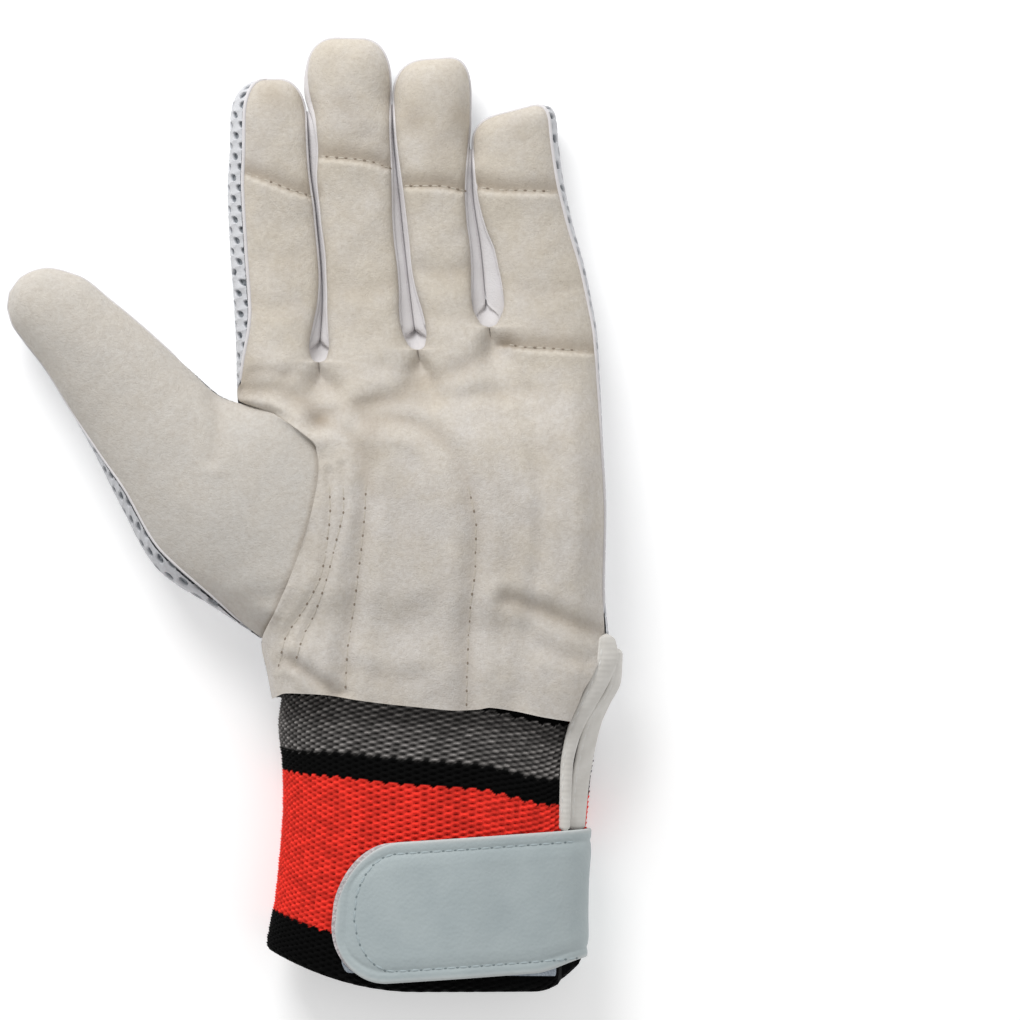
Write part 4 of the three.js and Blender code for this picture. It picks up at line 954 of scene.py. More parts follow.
# y at which the welt of each finger starts on its left and ends on its right
WELT_ENDS = [(38.0, 50.0), (50.0, 54.0), (54.0, 61.0), (61.0, -26.0)]
FINGER_NAMES = ["index", "middle", "ring", "little"]
for lobe, (finger, (start, end)) in enumerate(zip(FINGER_NAMES, WELT_ENDS)):
    y, turn = lobe_rows(PALM, lobe, 1.2, 16)
    left, right = (hand_surface(PALM, lobe, y, turn, np.array([[edge]]), 0)[:, 0] for edge in (0.0, 1.0))
    over = hand_surface(PALM, lobe, y[-1:], turn[-1:], np.linspace(0, 1, 9)[None, 1:-1], 0)[0]
    capped = turn[:, 0] > 0
    path = np.concatenate([left[capped | (y[:, 0] > start)], over, right[capped | (y[:, 0] > end)][::-1]])
    rolled = ROLL_RADIUS[lobe] * np.exp(-((path[:, 1] - ROLL_Y) / 7.0) ** 2) * (path[:, 0] < 5)
    points, faces = tube(carried_round(path, WELT_RADIUS + rolled))
    piece(f"seam_welt_{finger}", points, faces, white_jersey)
s = np.linspace(0.4, THUMB_TIP, 110)[:, None]
low, high = (thumb_surface(PALM, s, np.array([[edge]]), 0, LEATHER_TUCK, palm_seam_step)[:, 0]
             for edge in (0.0, 1.0))
path = np.concatenate([low, high[high[:, 1] > 44][::-1]])
points, faces = tube(carried_round(path, THUMB_WELT))
piece("seam_welt_thumb", points, faces, white_jersey)

# Knitted cuff
# A double tube of elastic knit, sewn inside the hems of the palm and the back and slit on the little
# finger's side. Its stripes are knitted in: a thin black one, grey, black, a broad orange-red one, black.

KNIT_THICKNESS = 2.4
CUFF_TOP = -44.0
CUFF_END = -138.0
# Angles of the slit's two lips, and how far the palm side's lip spreads towards the top
SLIT_PALM, SLIT_BACK = 2.6, 3.2
SLIT_FLARE = 0.14
# How far the cuff's upper edge spreads at the left, where the palm's corner pulls it
CUFF_FLARE = 2.6
# v from the top to the lower edge, left, right, middle, rise, drop
CUFF = [
    (0, -9.0, 81.2, 14.5, 12.4, 11.8), (0.1, -9.2, 81.2, 14.6, 12.5, 11.9),
    (0.2, -10.1, 81.4, 15.0, 13.6, 14.0), (0.33, -9.0, 80.2, 15.2, 14.4, 15.2),
    (0.47, -8.7, 79.2, 15.3, 14.8, 15.3),
    (0.64, -9.6, 78.2, 15.3, 14.9, 15.3), (0.8, -10.9, 77.6, 15.3, 14.9, 15.3),
    (0.9, -12.4, 77.6, 15.3, 14.9, 15.3), (1, -13.6, 77.6, 15.3, 14.8, 15.3),
]
cuff_left, cuff_right, cuff_mid, cuff_rise, cuff_drop = (track(CUFF, column) for column in range(1, 6))


def cuff_lower(x):
    """y of the cuff's lower edge, which rises towards both sides."""
    return CUFF_END + 12 * np.maximum(0, (30 - x) / 43) ** 2 + 9 * np.maximum(0, (x - 64) / 14) ** 2


def cuff_upper(x):
    """y of the cuff's top edge, inside the hand."""
    return CUFF_TOP - HEM_FALL * (x + 12)


def cuff_surface(v, angle, out):
    """Points of the cuff: a flattened tube, v from its top to its lower edge, angle round it from the left
    side over the palm, out how far outside its surface."""
    left, right = cuff_left(v) - CUFF_FLARE * smooth(0.08, 0, v) - out, cuff_right(v) + out
    over = np.where(np.sin(angle) >= 0, 1, -1)
    reach = np.where(over > 0, cuff_rise(v), cuff_drop(v)) + out
    x = left + (right - left) * (1 - np.cos(angle)) / 2
    z = cuff_mid(v) + over * reach * np.abs(np.sin(angle)) ** np.where(over > 0, 0.78, 0.6)
    return np.stack(np.broadcast_arrays(x, cuff_upper(x) + (cuff_lower(x) - cuff_upper(x)) * v, z), -1)


# Columns and rows of stitches, and how many points a stitch has in both directions
WALES, COURSES = 108, 52
STEPS_A_STITCH = 4
# How far the rows of stitches sink at the left and the right, as v, and how full a stitch is, as a power
ROW_BEND = (0.02, 0.04)
FULLNESS = 0.6
# How deep the valleys lie under the cuff's surface, the height of a stitch, how much more it is by chance,
# and the numbers of the sine that this chance comes from
STITCH_DEPTH, STITCH_HEIGHT, STITCH_CHANCE = 0.8, 1.2, 0.3
CHANCE = (12.9898, 78.233, 43758.5)
# Width and depth of the rolled edges, the cuff's length, and a length round it that is taken larger than it
# is, so that the lips of the slit are rolled a little more narrowly
ROLL_WIDTH, ROLL_DEPTH = 1.6, 0.9
CUFF_LENGTH, CUFF_ROUND = CUFF_TOP - CUFF_END, 230
# The grey yarn and the brightness of the ground between its stitches, then the height of the scallops of a
# stripe's edge and of its bends round the stitches, as v
GREY_YARN = "#b8b3b0"
GREY_GROUND = 0.055
EDGE_BUMP, EDGE_STEP = 0.012, 0.003
# Lower border of each stripe as v, its rise at the left and at the right, and the stripe's colour
STRIPES = [
    (0.083, 0.019, 0.037, "#060606"), (0.266, 0.023, 0.038, GREY_YARN), (0.347, 0.017, 0.045, "#040404"),
    (0.86, 0, 0, "#fd3d30"), (2.0, 0, 0, "#040404"),
]


def stripe_bend(x, at_left, at_right):
    """How far a stripe sinks towards the left and right sides of the cuff, as v."""
    return at_left * smooth(12, -8, x) + at_right * smooth(46, 72, x)


def knit(angle_from, angle_to):
    """The knit's outer face with its stitches, the angles of its columns, and the colour of its points.

    Stitches stand in brick order: the height is a power of half of one more than a cosine over two
    columns times one over a row. Rows and stripes sink a little at both sides, and a stripe's edge is
    scalloped. The lower edge and the lips of the slit are rolled: there the face comes in. Each stitch
    is a little higher or brighter by chance. The yarn's colour is darker down between the stitches: in
    the plain stripes this is painted shade, and in the grey stripe it falls nearly to black. What lies on
    the table is pressed flat.
    """
    v = np.linspace(0, 1, COURSES * STEPS_A_STITCH + 1)[:, None]
    share = np.linspace(0, 1, WALES * STEPS_A_STITCH + 1)[None, :]
    lip = angle_from + SLIT_FLARE * smooth(0.3, 0.05, v)
    angle = lip + (angle_to - lip) * share
    x = cuff_surface(v, angle, 0)[..., 0]
    across, up = share * WALES, (v - stripe_bend(x, *ROW_BEND)) * COURSES
    column = np.round(across)
    course = np.round(up - 0.5 * (column % 2))
    grain = (0.5 + 0.5 * np.cos(np.pi * across) * np.cos(2 * np.pi * up)) ** FULLNESS
    chance = np.abs(np.sin(CHANCE[0] * column + CHANCE[1] * course) * CHANCE[2]) % 1
    to_end, to_lip = (1 - v) * CUFF_LENGTH, np.minimum(share, 1 - share) * CUFF_ROUND
    rolled = np.sqrt(np.clip(to_end / ROLL_WIDTH, 0, 1) * np.clip(to_lip / ROLL_WIDTH, 0, 1))
    raised = -STITCH_DEPTH + STITCH_HEIGHT * grain + STITCH_CHANCE * chance * grain
    outer = cuff_surface(v, angle, raised - ROLL_DEPTH * (1 - rolled))
    outer[..., 2] = np.maximum(outer[..., 2], 0)
    colours = np.zeros((*grain.shape, 4))
    scalloped = v + EDGE_BUMP * np.abs(np.sin(np.pi * across / 2)) + EDGE_STEP * grain
    top = -1.0 + 0 * x
    for border, at_left, at_right, code in STRIPES:
        lower = border + stripe_bend(x, at_left, at_right)
        # The grey stripe: nearly black between its stitches
        speckled = GREY_GROUND + (1 - GREY_GROUND) * grain ** 4 * (0.35 + 0.65 * chance)
        # Painted shade: the plain stripes are darker down between the stitches
        plain = (0.4 + 0.6 * grain) * (0.8 + 0.4 * chance)
        depth = speckled if code == GREY_YARN else plain
        inside = (scalloped >= top) & (scalloped < lower)
        colours = np.where(inside[..., None], np.array(linear(code)) * depth[..., None], colours)
        top = lower
    colours[..., 3] = 1
    return outer, angle, colours


def knitted_yarn():
    """Textured polyester yarn: matt and fuzzy, its colour knitted in. The colour it is given is darker down
    between the stitches, as painted shade in the plain stripes, so the stitches' tops are brighter.
    """
    material = finish("elastic rib knit", 0.9, sheen=0.02, specular=0.1)
    place = add(material, "TexCoord").outputs["Object"]
    yarn_colour = add(material, "Attribute", {"attribute_name": "yarn"}).outputs["Color"]
    fuzz = add(material, "TexNoise", Vector=place, Scale=per(0.5), Detail=3.0, Roughness=0.7)
    tint = add(material, "MapRange", Value=fuzz.outputs[0], From_Min=0.3, From_Max=0.7, To_Min=0.8,
               To_Max=1.15)
    tone = add(material, "VectorMath", {"operation": "SCALE"}, i0=yarn_colour, Scale=tint.outputs[0])
    bump = add(material, "Bump", Strength=0.5, Distance=0.25 * MM, Height=fuzz.outputs[0])
    return wired(material, tone.outputs[0], bump)


outer, angle, colours = knit(SLIT_PALM, SLIT_BACK - 2 * np.pi)
inner_v = np.array([0.99, 0.95, 0.8, 0.6, 0.4, 0.2, 0.0])[:, None]
section = np.concatenate([outer, cuff_surface(inner_v, angle[:1] + 0 * inner_v, -KNIT_THICKNESS)])
yarn = np.concatenate([colours, np.broadcast_to(linear("#141415"), (len(inner_v), *colours.shape[1:]))])
rows, columns = section.shape[:2]
number = np.arange(rows * columns).reshape(rows, columns)
below = np.roll(number, -1, axis=0)
faces = np.stack([number[:, :-1], number[:, 1:], below[:, 1:], below[:, :-1]], -1).reshape(-1, 4).tolist()
faces += [number[:, 0].tolist(), number[::-1, -1].tolist()]
piece("knit_cuff", section.reshape(-1, 3), faces, knitted_yarn(), "knitted_cuff",
      {"yarn": yarn.reshape(-1, 4)}, crease=80)

# Bound lips of the slit
# The two lips of the slit are bound with a folded off-white tape from the wrist down to the strap, held
# by one row of stitches each.

# Thickness of the tape, how far its face bows outwards, and where its row of stitches runs, as a share of
# the width from its middle
TAPE_THICKNESS, TAPE_BOW = 1.7, 0.5
STITCH_SIDE = -0.36
# y, x, z of the tape's middle, how steeply it faces outwards, and its width seen from above
PALM_TAPE = [(-34.5, 84.6, 23.2, 0.75, 4.0), (-41, 85.0, 24.4, 0.7, 6.2), (-46.5, 83.2, 25.4, 0.66, 6.2),
             (-55.6, 78.8, 26.6, 0.6, 5.4), (-60.5, 76.3, 26.0, 0.55, 4.6), (-66, 74.5, 25.2, 0.5, 3.9),
             (-73, 73.2, 24.7, 0.5, 3.4), (-92, 72.5, 24.4, 0.5, 3.0)]
BACK_TAPE = [(-39, 88.0, 18.0, 1.3, 1.8), (-48.4, 87.0, 18.8, 1.25, 3.1), (-55.6, 83.3, 19.6, 1.2, 3.7),
             (-60.5, 80.8, 19.8, 1.1, 4.6), (-71, 78.2, 18.9, 1.0, 4.9), (-80, 76.8, 18.8, 1.0, 4.9),
             (-92, 75.9, 18.8, 1.0, 4.5)]


def tape_frame(rows, count):
    """Middle points of a tape and, at each, the directions across it and out of it, and its real width."""
    y = np.linspace(rows[0][0], rows[-1][0], count)
    placed = [(-row[0], *row[1:]) for row in rows]
    x, z, tilt, plan = (track(placed, column)(-y) for column in (1, 2, 3, 4))
    across = np.stack([np.cos(tilt), 0 * y, -np.sin(tilt)], -1)
    out = np.stack([np.sin(tilt), 0 * y, np.cos(tilt)], -1)
    return np.stack([x, y, z], -1), across, out, plan / np.cos(tilt)


def tape(rows, count=110, around=32):
    """A folded tape: a flat section with rounded edges, slightly bowed outwards, carried along its middle
    line and closing to a point at both ends. A row of stitches pulls a shallow valley near one edge."""
    middle, across, out, width = tape_frame(rows, count)
    turn = np.linspace(0, 2 * np.pi, around + 1)[None, :-1]
    ends = np.sqrt(np.clip(from_ends(count) / TAPER, 0, 1))[:, None]
    flat, thick = np.cos(turn), np.sin(turn)
    place = np.sign(flat) * np.abs(flat) ** 0.5
    side = place * width[:, None] / 2 * ends
    up = np.sign(thick) * np.abs(thick) ** 0.8 * TAPE_THICKNESS / 2 * ends
    sunk = 0.25 * np.exp(-((side - STITCH_SIDE * width[:, None]) / 0.5) ** 2) * (thick > 0)
    up = up + TAPE_BOW * (1 - place ** 2) - sunk
    return middle[:, None] + side[..., None] * across[:, None] + up[..., None] * out[:, None]


def binding_tape():
    """Woven polyester tape: off-white, finely ribbed across, a little soiled."""
    material = finish("off-white binding tape", 0.85, sheen=0.2, specular=0.25)
    place = add(material, "TexCoord").outputs["Object"]
    soil = add(material, "TexNoise", Vector=place, Scale=per(5), Detail=4.0)
    colour = add(material, "Mix", MIX, i0=soil.outputs[0], i6="#c4c0b9", i7="#e2dfda").outputs[2]
    rib = add(material, "TexWave", {"bands_direction": "Y"}, Vector=place, Scale=per(0.8) / WAVE,
              Distortion=1.0)
    bump = add(material, "Bump", Strength=0.3, Distance=0.15 * MM, Height=rib.outputs["Fac"])
    return wired(material, colour, bump)


off_white_tape = binding_tape()
for name, rows in [("palm", PALM_TAPE), ("back", BACK_TAPE)]:
    points, faces = tube(tape(rows))
    piece(f"slit_tape_{name}", points, faces, off_white_tape, f"slit_binding_{name}")

# Wrist strap
# A coated leather strap is stitched down at the back edge of the slit, wraps the little finger's side and
# lies across the palm side. Hook tape lines its rounded end and grips a patch of loop tape on the cuff.

STRAP_THICKNESS = 1.3
# x of the strap's round end, radius of that end, half its width, and x of its end on the back
STRAP_START, STRAP_ROUND, STRAP_HALF = 8.6, 15.5, 20.3
STRAP_BACK = 64.0
# y of the middle line of each band where x is LINE_X, its slope, and how far its lower right corner is
# drawn in
LINE_X = 20
STRAP_LINE = (-115.2, 0.065, 3.4)
HOOK_LINE = (-114.5, 0.065, 3.4)
LOOP_LINE = (-122.3, -0.018, 0)
# x at which the strap leaves its hooks and the loop tape, and how high it lies on hooks, loops and knit
HOOKS_TO, LOOPS_TO = 42.0, 69.5
ON_HOOKS, ON_LOOPS, ON_KNIT = 2.5, 1.15, 0.4
# v of the cuff at which the strap's places are found from x
STRAP_V = 0.78
# Width over which the edge of a band is rounded, how far it falls there, and how far the stitches lie inside
EDGE_WIDTH, EDGE_DROP = 0.9, 0.55
STITCH_INSET = 3.4
# x at which the loop tape starts, half its width, and the radius of its corners
LOOPS_FROM, LOOP_HALF, LOOP_ROUND = 9.4, 10.3, 3.0
# How far the hook tape shows past the strap's end, and how much narrower it is on either side
HOOK_RIM, HOOK_INSET = 1.9, 0.8


def strap_surface(angle, q, half, out, middle):
    """Points over the cuff from the strap's own places: angle round the cuff, q from its lower to its
    upper edge. v is found in three rounds from the height that q asks for at that x."""
    level, slope, corner = middle
    v = STRAP_V + 0 * angle
    for _ in range(3):
        x = cuff_surface(v, angle, out)[..., 0]
        y = level + slope * (x - LINE_X) + q * half + corner * np.maximum(-q, 0) * smooth(64, 80, x)
        v = (y - cuff_upper(x)) / (cuff_lower(x) - cuff_upper(x))
    points = cuff_surface(v, angle, out)
    points[..., 1] = y
    return points


def palm_angle(x):
    """Angle on the palm side at which the cuff has a given x."""
    left, right = cuff_left(STRAP_V), cuff_right(STRAP_V)
    return np.arccos(np.clip(1 - 2 * (x - left) / (right - left), -1, 1))


def strap_half(x, start, end, past, round_end):
    """Half the width of the strap: full, with a round end at its start, and round corners on the back."""
    near_start = np.clip((x - start) / round_end, 0, 1)
    near_end = np.where(past, np.clip((x - end) / 6, 0, 1), 1)
    return np.sqrt(np.maximum(0.004, 1 - (1 - near_start) ** 2) * np.maximum(0.2, 1 - (1 - near_end) ** 2))


def strap_lift(x, angle):
    """Height of the strap's face over the cuff: on its hooks, then on the loop tape, then on the knit."""
    on_palm = ON_HOOKS + (ON_LOOPS - ON_HOOKS) * smooth(HOOKS_TO, HOOKS_TO + 16, x)
    on_palm = on_palm + (ON_KNIT - ON_LOOPS) * smooth(LOOPS_TO - 2, LOOPS_TO + 7, x)
    return STRAP_THICKNESS + np.where(angle < np.pi, on_palm, ON_KNIT)


def strap_band(first, last, half, round_end, middle, thickness, lift, relief, count, rows):
    """Outer and inner points of a band of the strap, between two angles, and how far inside its edge they
    lie. Its edges are rounded over."""
    angle = (first + (last - first) * np.linspace(0, 1, count) ** 1.15)[:, None]
    q = np.sin(np.linspace(-np.pi / 2, np.pi / 2, rows))[None, :]
    x = cuff_surface(STRAP_V, angle, 0)[..., 0]
    start, end = (float(cuff_surface(STRAP_V, np.array(a), 0)[0]) for a in (first, last))
    width = half * strap_half(x, start, end, angle > np.pi, round_end)
    beside, past = np.maximum(width * (1 - np.abs(q)), 0.01), np.maximum((x - start) * 1.2, 0.01)
    inside = (beside ** -3 + past ** -3) ** (-1 / 3)
    edge = EDGE_DROP * (1 - np.sqrt(np.clip(1 - (1 - np.clip(inside / EDGE_WIDTH, 0, 1)) ** 2, 0, 1)))
    out = lift(x, angle)
    outer = strap_surface(angle, q, width, out - edge + relief(x, inside), middle)
    inner = strap_surface(angle, q, width, out - thickness + 0 * q, middle)
    return outer, inner, inside


def strap_relief(x, inside):
    """The strap's row of stitches pulls a shallow valley, and its middle is slightly padded."""
    sunk = -0.28 * np.exp(-((inside - STITCH_INSET) / 0.7) ** 2)
    padded = 0.35 * smooth(STITCH_INSET, STITCH_INSET + 4, inside)
    return sunk + padded + 0.06 * np.sin(x / 3.7) * np.sin(inside / 3.1)


def coated_leather():
    """Coated split leather: cool pale grey-blue, satin, with a fine pebbled grain and a rubbed bright rim."""
    material = finish("pale blue-grey coated leather", 0.55, specular=0.45)
    place = add(material, "TexCoord").outputs["Object"]
    clouds = add(material, "TexNoise", Vector=place, Scale=per(14), Detail=5.0, Roughness=0.6)
    grain = add(material, "TexVoronoi", {"feature": "SMOOTH_F1"}, Vector=place, Scale=per(0.9))
    colour = add(material, "Mix", MIX, i0=clouds.outputs[0], i6="#9ca8ab", i7="#b6c0c1").outputs[2]
    rim = add(material, "Attribute", {"attribute_name": "inside"}).outputs["Fac"]
    worn = add(material, "MapRange", Value=rim, From_Min=1.6, From_Max=0.2, To_Max=0.5)
    colour = add(material, "Mix", MIX, i0=worn.outputs[0], i6=colour, i7="#d4d4d2").outputs[2]
    bump = add(material, "Bump", Strength=0.35, Distance=0.25 * MM, Height=grain.outputs[0])
    return wired(material, colour, bump)


def flat_tape(name, tone, dark, grain):
    """Hook or loop tape: matt nylon, a dense field of small hooks or teased loops."""
    material = finish(name, 0.9, sheen=0.2, specular=0.3)
    place = add(material, "TexCoord").outputs["Object"]
    field = add(material, "TexVoronoi", Vector=place, Scale=per(grain))
    colour = add(material, "Mix", MIX, i0=field.outputs[0], i6=tone, i7=dark).outputs[2]
    bump = add(material, "Bump", Strength=0.8, Distance=0.4 * MM, Height=field.outputs[0])
    return wired(material, colour, bump)


outer, inner, inside = strap_band(palm_angle(STRAP_START), 2 * np.pi - palm_angle(STRAP_BACK), STRAP_HALF,
                                  STRAP_ROUND, STRAP_LINE, STRAP_THICKNESS, strap_lift, strap_relief, 240, 81)
points, faces, values = wall([(outer, inner, inside[..., None])])
strap_face = piece("strap_leather", points, faces, coated_leather(), "wrist_strap",
                   {"inside": values[:, 0]})
# Each tape under the strap: its name and solid, x of its ends, half its width, the radius of its start, its
# middle line, its thickness and how high it lies, its finish, its two tones and the size of its grain
for name, node, start, end, half, round_end, middle, thick, high, label, tone, dark, grain in [
    ("hook_tape", "strap_hook_lining", STRAP_START - HOOK_RIM, HOOKS_TO - 2, STRAP_HALF - HOOK_INSET,
     STRAP_ROUND - 1.0, HOOK_LINE, 0.9, 2.2, "nylon hook tape", "#d9d3d4", "#a9a4a6", 0.9),
    ("loop_tape", "loop_patch", LOOPS_FROM, LOOPS_TO, LOOP_HALF,
     LOOP_ROUND, LOOP_LINE, 0.8, 1.1, "brushed loop tape", "#b8c1ca", "#8d97a2", 0.7),
]:
    outer, inner, _ = strap_band(palm_angle(start), palm_angle(end), half, round_end, middle, thick,
                                 lambda x, angle: high + 0 * x, lambda x, inside: 0 * inside, 60, 31)
    points, faces = plain_wall([outer, inner])
    piece(name, points, faces, flat_tape(label, tone, dark, grain), node)

# Badge
# A round white backing is sewn onto the mesh back, and carries a domed disc of glossy soft plastic: a
# plain orange field in a black border.

BADGE_X, BADGE_Y = 42.0, 25.0
BACKING_RADIUS, SEWN_RADIUS, BORDER_RADIUS, FIELD_RADIUS = 34.8, 32.2, 30.0, 24.0
# Height of the backing's lower face, and how deep the groove of its stitches is
BACKING_LEVEL, GROOVE = 1.3, 0.2


def turned(profile, around=160):
    """A closed profile of radius and height turned about the badge's middle; its first and last points
    lie on the axis."""
    turn = np.linspace(0, 2 * np.pi, around + 1)[:-1]
    radius, height = np.array(profile, float).T
    x = BADGE_X + radius[:, None] * np.cos(turn)
    y = BADGE_Y + radius[:, None] * np.sin(turn)
    rings = np.stack([x, y, height[:, None] + 0 * x], -1)
    return tube(rings)


def soft_plastic(name, code, deeper):
    """Glossy PVC, moulded smooth, with a faint unevenness of its colour."""
    material = finish(name, 0.22, specular=0.5)
    place = add(material, "TexCoord").outputs["Object"]
    clouds = add(material, "TexNoise", Vector=place, Scale=per(9), Detail=2.0)
    colour = add(material, "Mix", MIX, i0=clouds.outputs[0], i6=code, i7=deeper).outputs[2]
    bump = add(material, "Bump", Strength=0.06, Distance=0.3 * MM, Height=clouds.outputs[0])
    return wired(material, colour, bump)


backing_profile = [(0.01, BACKING_LEVEL), (29, BACKING_LEVEL), (SEWN_RADIUS - 0.6, BACKING_LEVEL),
                   (SEWN_RADIUS, BACKING_LEVEL + GROOVE), (SEWN_RADIUS + 0.6, BACKING_LEVEL),
                   (BACKING_RADIUS - 0.5, BACKING_LEVEL), (BACKING_RADIUS, 1.6), (BACKING_RADIUS, 2.1),
                   (BACKING_RADIUS - 0.5, 2.4), (0.01, 2.4)]
points, faces = turned(backing_profile[::-1])
piece("badge_cloth", points, faces, off_white_tape, "badge_backing")
radii = np.linspace(0.01, FIELD_RADIUS - 0.4, 14)
field = [(radius, 0.02 + 0.35 * (radius / FIELD_RADIUS) ** 2) for radius in radii]
rim = [(FIELD_RADIUS - 0.1, 0.5), (FIELD_RADIUS + 0.3, 0.2), (FIELD_RADIUS + 1.5, 0.08),
       (BORDER_RADIUS - 2.5, 0.08), (BORDER_RADIUS - 0.8, 0.25), (BORDER_RADIUS, 0.7), (BORDER_RADIUS, 1.1),
       (0.01, 1.1)]
points, faces = turned((field + rim)[::-1])
orange = soft_plastic("orange glossy plastic", "#f2603c", "#e9552f")
disc = piece("badge_disc", points, faces, orange, "badge_face", crease=70)
disc.data.materials.append(soft_plastic("black glossy plastic", "#0c0c0d", "#161617"))
corners = [[disc.data.vertices[i].co[:] for i in face.vertices] for face in disc.data.polygons]
centres = np.array([np.mean(points, 0) for points in corners])
reach = np.hypot(centres[:, 0] / MM - BADGE_X, centres[:, 1] / MM - BADGE_Y)
disc.data.polygons.foreach_set("material_index", (reach > FIELD_RADIUS - 0.2).astype(int))

# Stitches
# Polyester thread, locked at even steps. Each stitch is a short capsule that lies sunk in its valley, and
# in leather a small dark capsule between one stitch and the next stands for the needle hole: its dark
# colour is painted shade in the hole.

PALM_PITCH, STRAP_PITCH, TAPE_PITCH = 4.0, 3.5, 3.2
# Length of a stitch as a share of its pitch, its width, and its height as a share of its width
STITCH_LENGTH, STITCH_WIDTH, STITCH_FLATNESS = 0.62, 0.62, 0.65
# Width of a stitch across the palm, and length, width and height of a needle hole
PALM_STITCH = 0.4
NEEDLE_HOLE = (0.9, 0.6, 0.2)


def along_line(points, pitch):
    """Middles and directions of the stitches on a line: even steps along it."""
    reach = np.concatenate([[0], np.cumsum(np.linalg.norm(np.diff(points, axis=0), axis=1))])
    at = np.arange(pitch / 2, reach[-1], pitch)
    behind, middle, ahead = (np.stack([np.interp(at + step, reach, column) for column in points.T], -1)
                             for step in (-0.3, 0, 0.3))
    return middle, ahead - behind


def beads(middle, direction, up, length, width, height, rings=5, around=8):
    """Small capsules as one mesh: rings whose radius is the root of a flattened circle along the length."""
    direction = direction / np.linalg.norm(direction, axis=1, keepdims=True)
    side = np.cross(up, direction)
    side = side / np.linalg.norm(side, axis=1, keepdims=True)
    up = np.cross(direction, side)
    t = np.linspace(-0.94, 0.94, rings)
    size = (1 - t ** 4) ** 0.5
    turn = np.linspace(0, 2 * np.pi, around + 1)[:-1]
    shape = np.stack([
        np.broadcast_to(t[:, None] * length / 2, (rings, around)),
        size[:, None] * np.cos(turn) * width / 2,
        size[:, None] * np.sin(turn) * height / 2,
    ], -1)
    basis = np.stack([direction, side, up], 1)
    points = middle[:, None, None] + np.einsum("rai,nij->nraj", shape, basis)
    number = np.arange(len(middle) * rings * around).reshape(len(middle), rings, around)
    faces = neighbours(number, closed=True).tolist()
    faces += number[:, 0, ::-1].tolist() + number[:, -1].tolist()
    return points.reshape(-1, 3), faces


def on_surface(made, rows, pitch):
    """Middles, directions and normals of stitches on a piece's upper face, under lines of the plan."""
    tree = BVHTree.FromPolygons([v.co for v in made.data.vertices], [f.vertices for f in made.data.polygons])
    middles, directions, ups = [], [], []
    for row in rows:
        middle, direction = along_line(row, pitch)
        for (x, y), (dx, dy) in zip(middle, direction):
            place, normal, _, _ = tree.ray_cast(Vector((x * MM, y * MM, 0.1)), Vector((0, 0, -1)))
            if place is None or normal.z < 0.3:
                continue
            middles.append(np.array(place) / MM)
            ups.append(np.array(normal))
            directions.append(np.array([dx, dy, -(dx * normal.x + dy * normal.y) / normal.z]))
    return np.array(middles), np.array(directions), np.array(ups)


def sewing_thread(name, tone, dark):
    """Twisted polyester thread: slightly glossy, its twist drawn coarser than it is."""
    material = finish(name, 0.6, specular=0.4)
    place = add(material, "TexCoord").outputs["Object"]
    twist = add(material, "TexNoise", Vector=place, Scale=per(0.6), Detail=2.0)
    colour = add(material, "Mix", MIX, i0=twist.outputs[0], i6=dark, i7=tone).outputs[2]
    return wired(material, colour)


def sew(name, places, pitch, thread, hole=None, width=STITCH_WIDTH):
    """Makes the stitches of one row or group, and, if a material is given for them, small dark capsules of
    painted shade that stand for the needle holes between them.
    """
    middle, direction, up = places
    points, faces = beads(middle, direction, up, pitch * STITCH_LENGTH, width, STITCH_FLATNESS * width)
    piece(name, points, faces, thread)
    if hole:
        unit = direction / np.linalg.norm(direction, axis=1, keepdims=True)
        points, faces = beads(middle + unit * pitch / 2, direction, up, *NEEDLE_HOLE, rings=4)
        piece(f"{name}_needle_holes", points, faces, hole)


cream_thread = sewing_thread("cream thread", "#c6bfb3", "#b3ab9e")
white_thread = sewing_thread("white thread", "#eceae6", "#c9c7c3")
grey_thread = sewing_thread("grey thread", "#b4c0c3", "#98a5a9")
# The needle holes are small capsules painted dark, as painted shade that stands for the hole
needle_hole_shade = sewing_thread("painted shade of needle holes in leather", "#8f8375", "#75685a")
# The rows on the palm show their stitches only below this y, and above it the padding hides them
SEWN_BELOW = 10.0
palm_rows = [row[row[:, 1] < SEWN_BELOW] for row in [*SEAM_ROWS, *QUILT_ROWS]]
for name, rows, pitch in [("finger", FINGER_ROWS, SCALLOP), ("palm", palm_rows, PALM_PITCH)]:
    sew(f"{name}_stitches", on_surface(palm_leather, rows, pitch), pitch, cream_thread, needle_hole_shade,
        PALM_STITCH)

# The strap's row runs round its end, up to the x where the strap turns over the cuff's side
STRAP_ROW_TO = 76.0
sewn_x = np.linspace(STRAP_START + STITCH_INSET, STRAP_ROW_TO, 120)
reach = (sewn_x - STRAP_START - STITCH_INSET) / (STRAP_ROUND - STITCH_INSET)
sewn_half = (STRAP_HALF - STITCH_INSET) * np.sqrt(np.clip(1 - (1 - np.clip(reach, 0, 1)) ** 2, 0, 1))
sewn_level = STRAP_LINE[0] + STRAP_LINE[1] * (sewn_x - LINE_X)
upper, lower = (np.stack([sewn_x, sewn_level + sign * sewn_half], -1) for sign in (1, -1))
strap_row = np.concatenate([upper[::-1], lower[1:]])
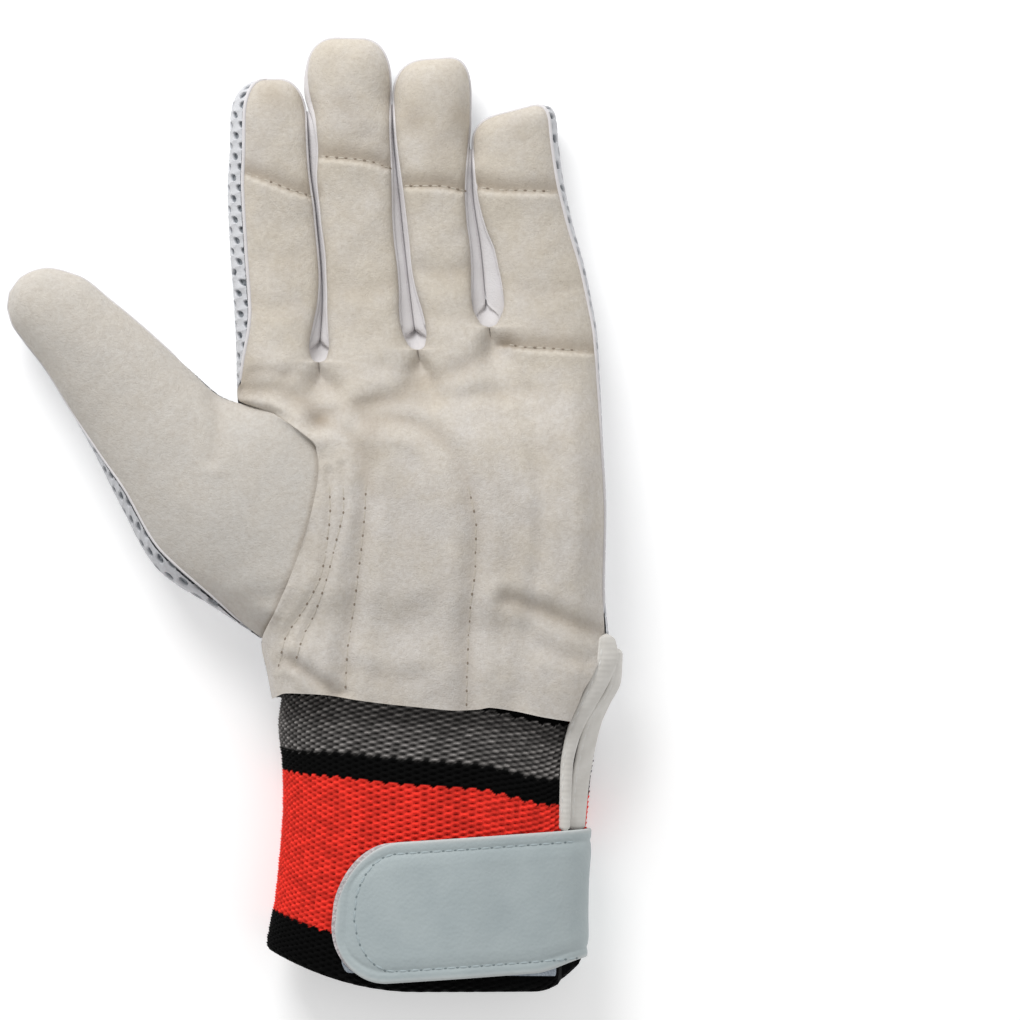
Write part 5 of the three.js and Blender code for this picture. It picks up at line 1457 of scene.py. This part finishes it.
# The strap's needle holes are painted dark, as painted shade in the holes
sew("strap_stitches", on_surface(strap_face, [strap_row], STRAP_PITCH), STRAP_PITCH,
    grey_thread, sewing_thread("painted shade of needle holes in the strap", "#818d90", "#6d797c"))
for name, rows in [("palm", PALM_TAPE), ("back", BACK_TAPE)]:
    middle, across, out, width = tape_frame(rows, 90)
    raised = TAPE_BOW * (1 - (2 * STITCH_SIDE) ** 2) + 0.45
    sewn_line = middle + STITCH_SIDE * width[:, None] * across + raised * out
    stitch, direction = along_line(sewn_line[6:-6], TAPE_PITCH)
    facing = np.stack([np.interp(-stitch[:, 1], -middle[:, 1], out[:, i]) for i in range(3)], -1)
    sew(f"slit_{name}_stitches", (stitch, direction, facing), TAPE_PITCH, white_thread)
turn = np.linspace(0, 2 * np.pi, 200)
badge_row = np.stack([BADGE_X + SEWN_RADIUS * np.cos(turn), BADGE_Y + SEWN_RADIUS * np.sin(turn),
                      BACKING_LEVEL + 0.15 + 0 * turn], -1)
middle, direction = along_line(badge_row, TAPE_PITCH)
sew("badge_stitches", (middle, direction, np.tile(-UP, (len(middle), 1))), TAPE_PITCH,
    white_thread)

# Camera, light and floor
# The photograph looks straight down from far away. Light is broad and soft, a little stronger from the
# fingertips' side, over a white floor.

MM_PER_PIXEL = 0.29
IMAGE_SIZE = 1020
# Middle of the picture, and the height at which its scale holds
VIEW_X, VIEW_Y, VIEW_HEIGHT = 56.84, 1.23, 15.0
LENS, SENSOR = 400.0, 36.0
# Half the floor's width and its level, in metres
FLOOR_HALF, FLOOR_LEVEL = 3, -0.0005
camera_data = bpy.data.cameras.new("camera")
camera_data.lens, camera_data.sensor_width = LENS, SENSOR
camera_data.clip_end = 20
camera = placed("camera", camera_data)
far = VIEW_HEIGHT + MM_PER_PIXEL * IMAGE_SIZE * LENS / SENSOR
camera.location = (VIEW_X * MM, VIEW_Y * MM, far * MM)
bpy.context.scene.camera = camera


def soft_light(name, place, size, power):
    """A square area light at a place in metres, turned to the frame's origin, in the palm."""
    data = bpy.data.lights.new(name, "AREA")
    data.size, data.energy = size, power
    light = placed(name, data)
    light.location = place
    light.rotation_euler = (-Vector(place)).to_track_quat("-Z", "Y").to_euler()


SKY_STRENGTH = 0.49
soft_light("key", (-0.35, 0.95, 0.7), 0.6, 11.5)
soft_light("fill", (0.7, -0.3, 1.0), 1.0, 1.6)
soft_light("under", (0.0, 0.0, -1.2), 1.2, 4.0)
world = bpy.data.worlds.new("studio")
world.use_nodes = True
sky = world.node_tree.nodes["Background"]
sky.inputs["Color"].default_value = (1, 1, 1, 1)
sky.inputs["Strength"].default_value = SKY_STRENGTH
bpy.context.scene.world = world
bpy.context.scene.view_settings.view_transform = "Standard"
floor_mesh = bpy.data.meshes.new("floor")
square = [(-1, -1), (1, -1), (1, 1), (-1, 1)]
floor_mesh.from_pydata([(x * FLOOR_HALF, y * FLOOR_HALF, FLOOR_LEVEL) for x, y in square], [], [(0, 1, 2, 3)])
floor = placed("floor", floor_mesh)
floor_mesh.materials.append(finish("white paper sweep", 0.9, specular=0.1, Base_Color=linear("#f4f4f4"),
                                   Emission_Strength=0.3, Emission_Color=(1, 1, 1, 1)))
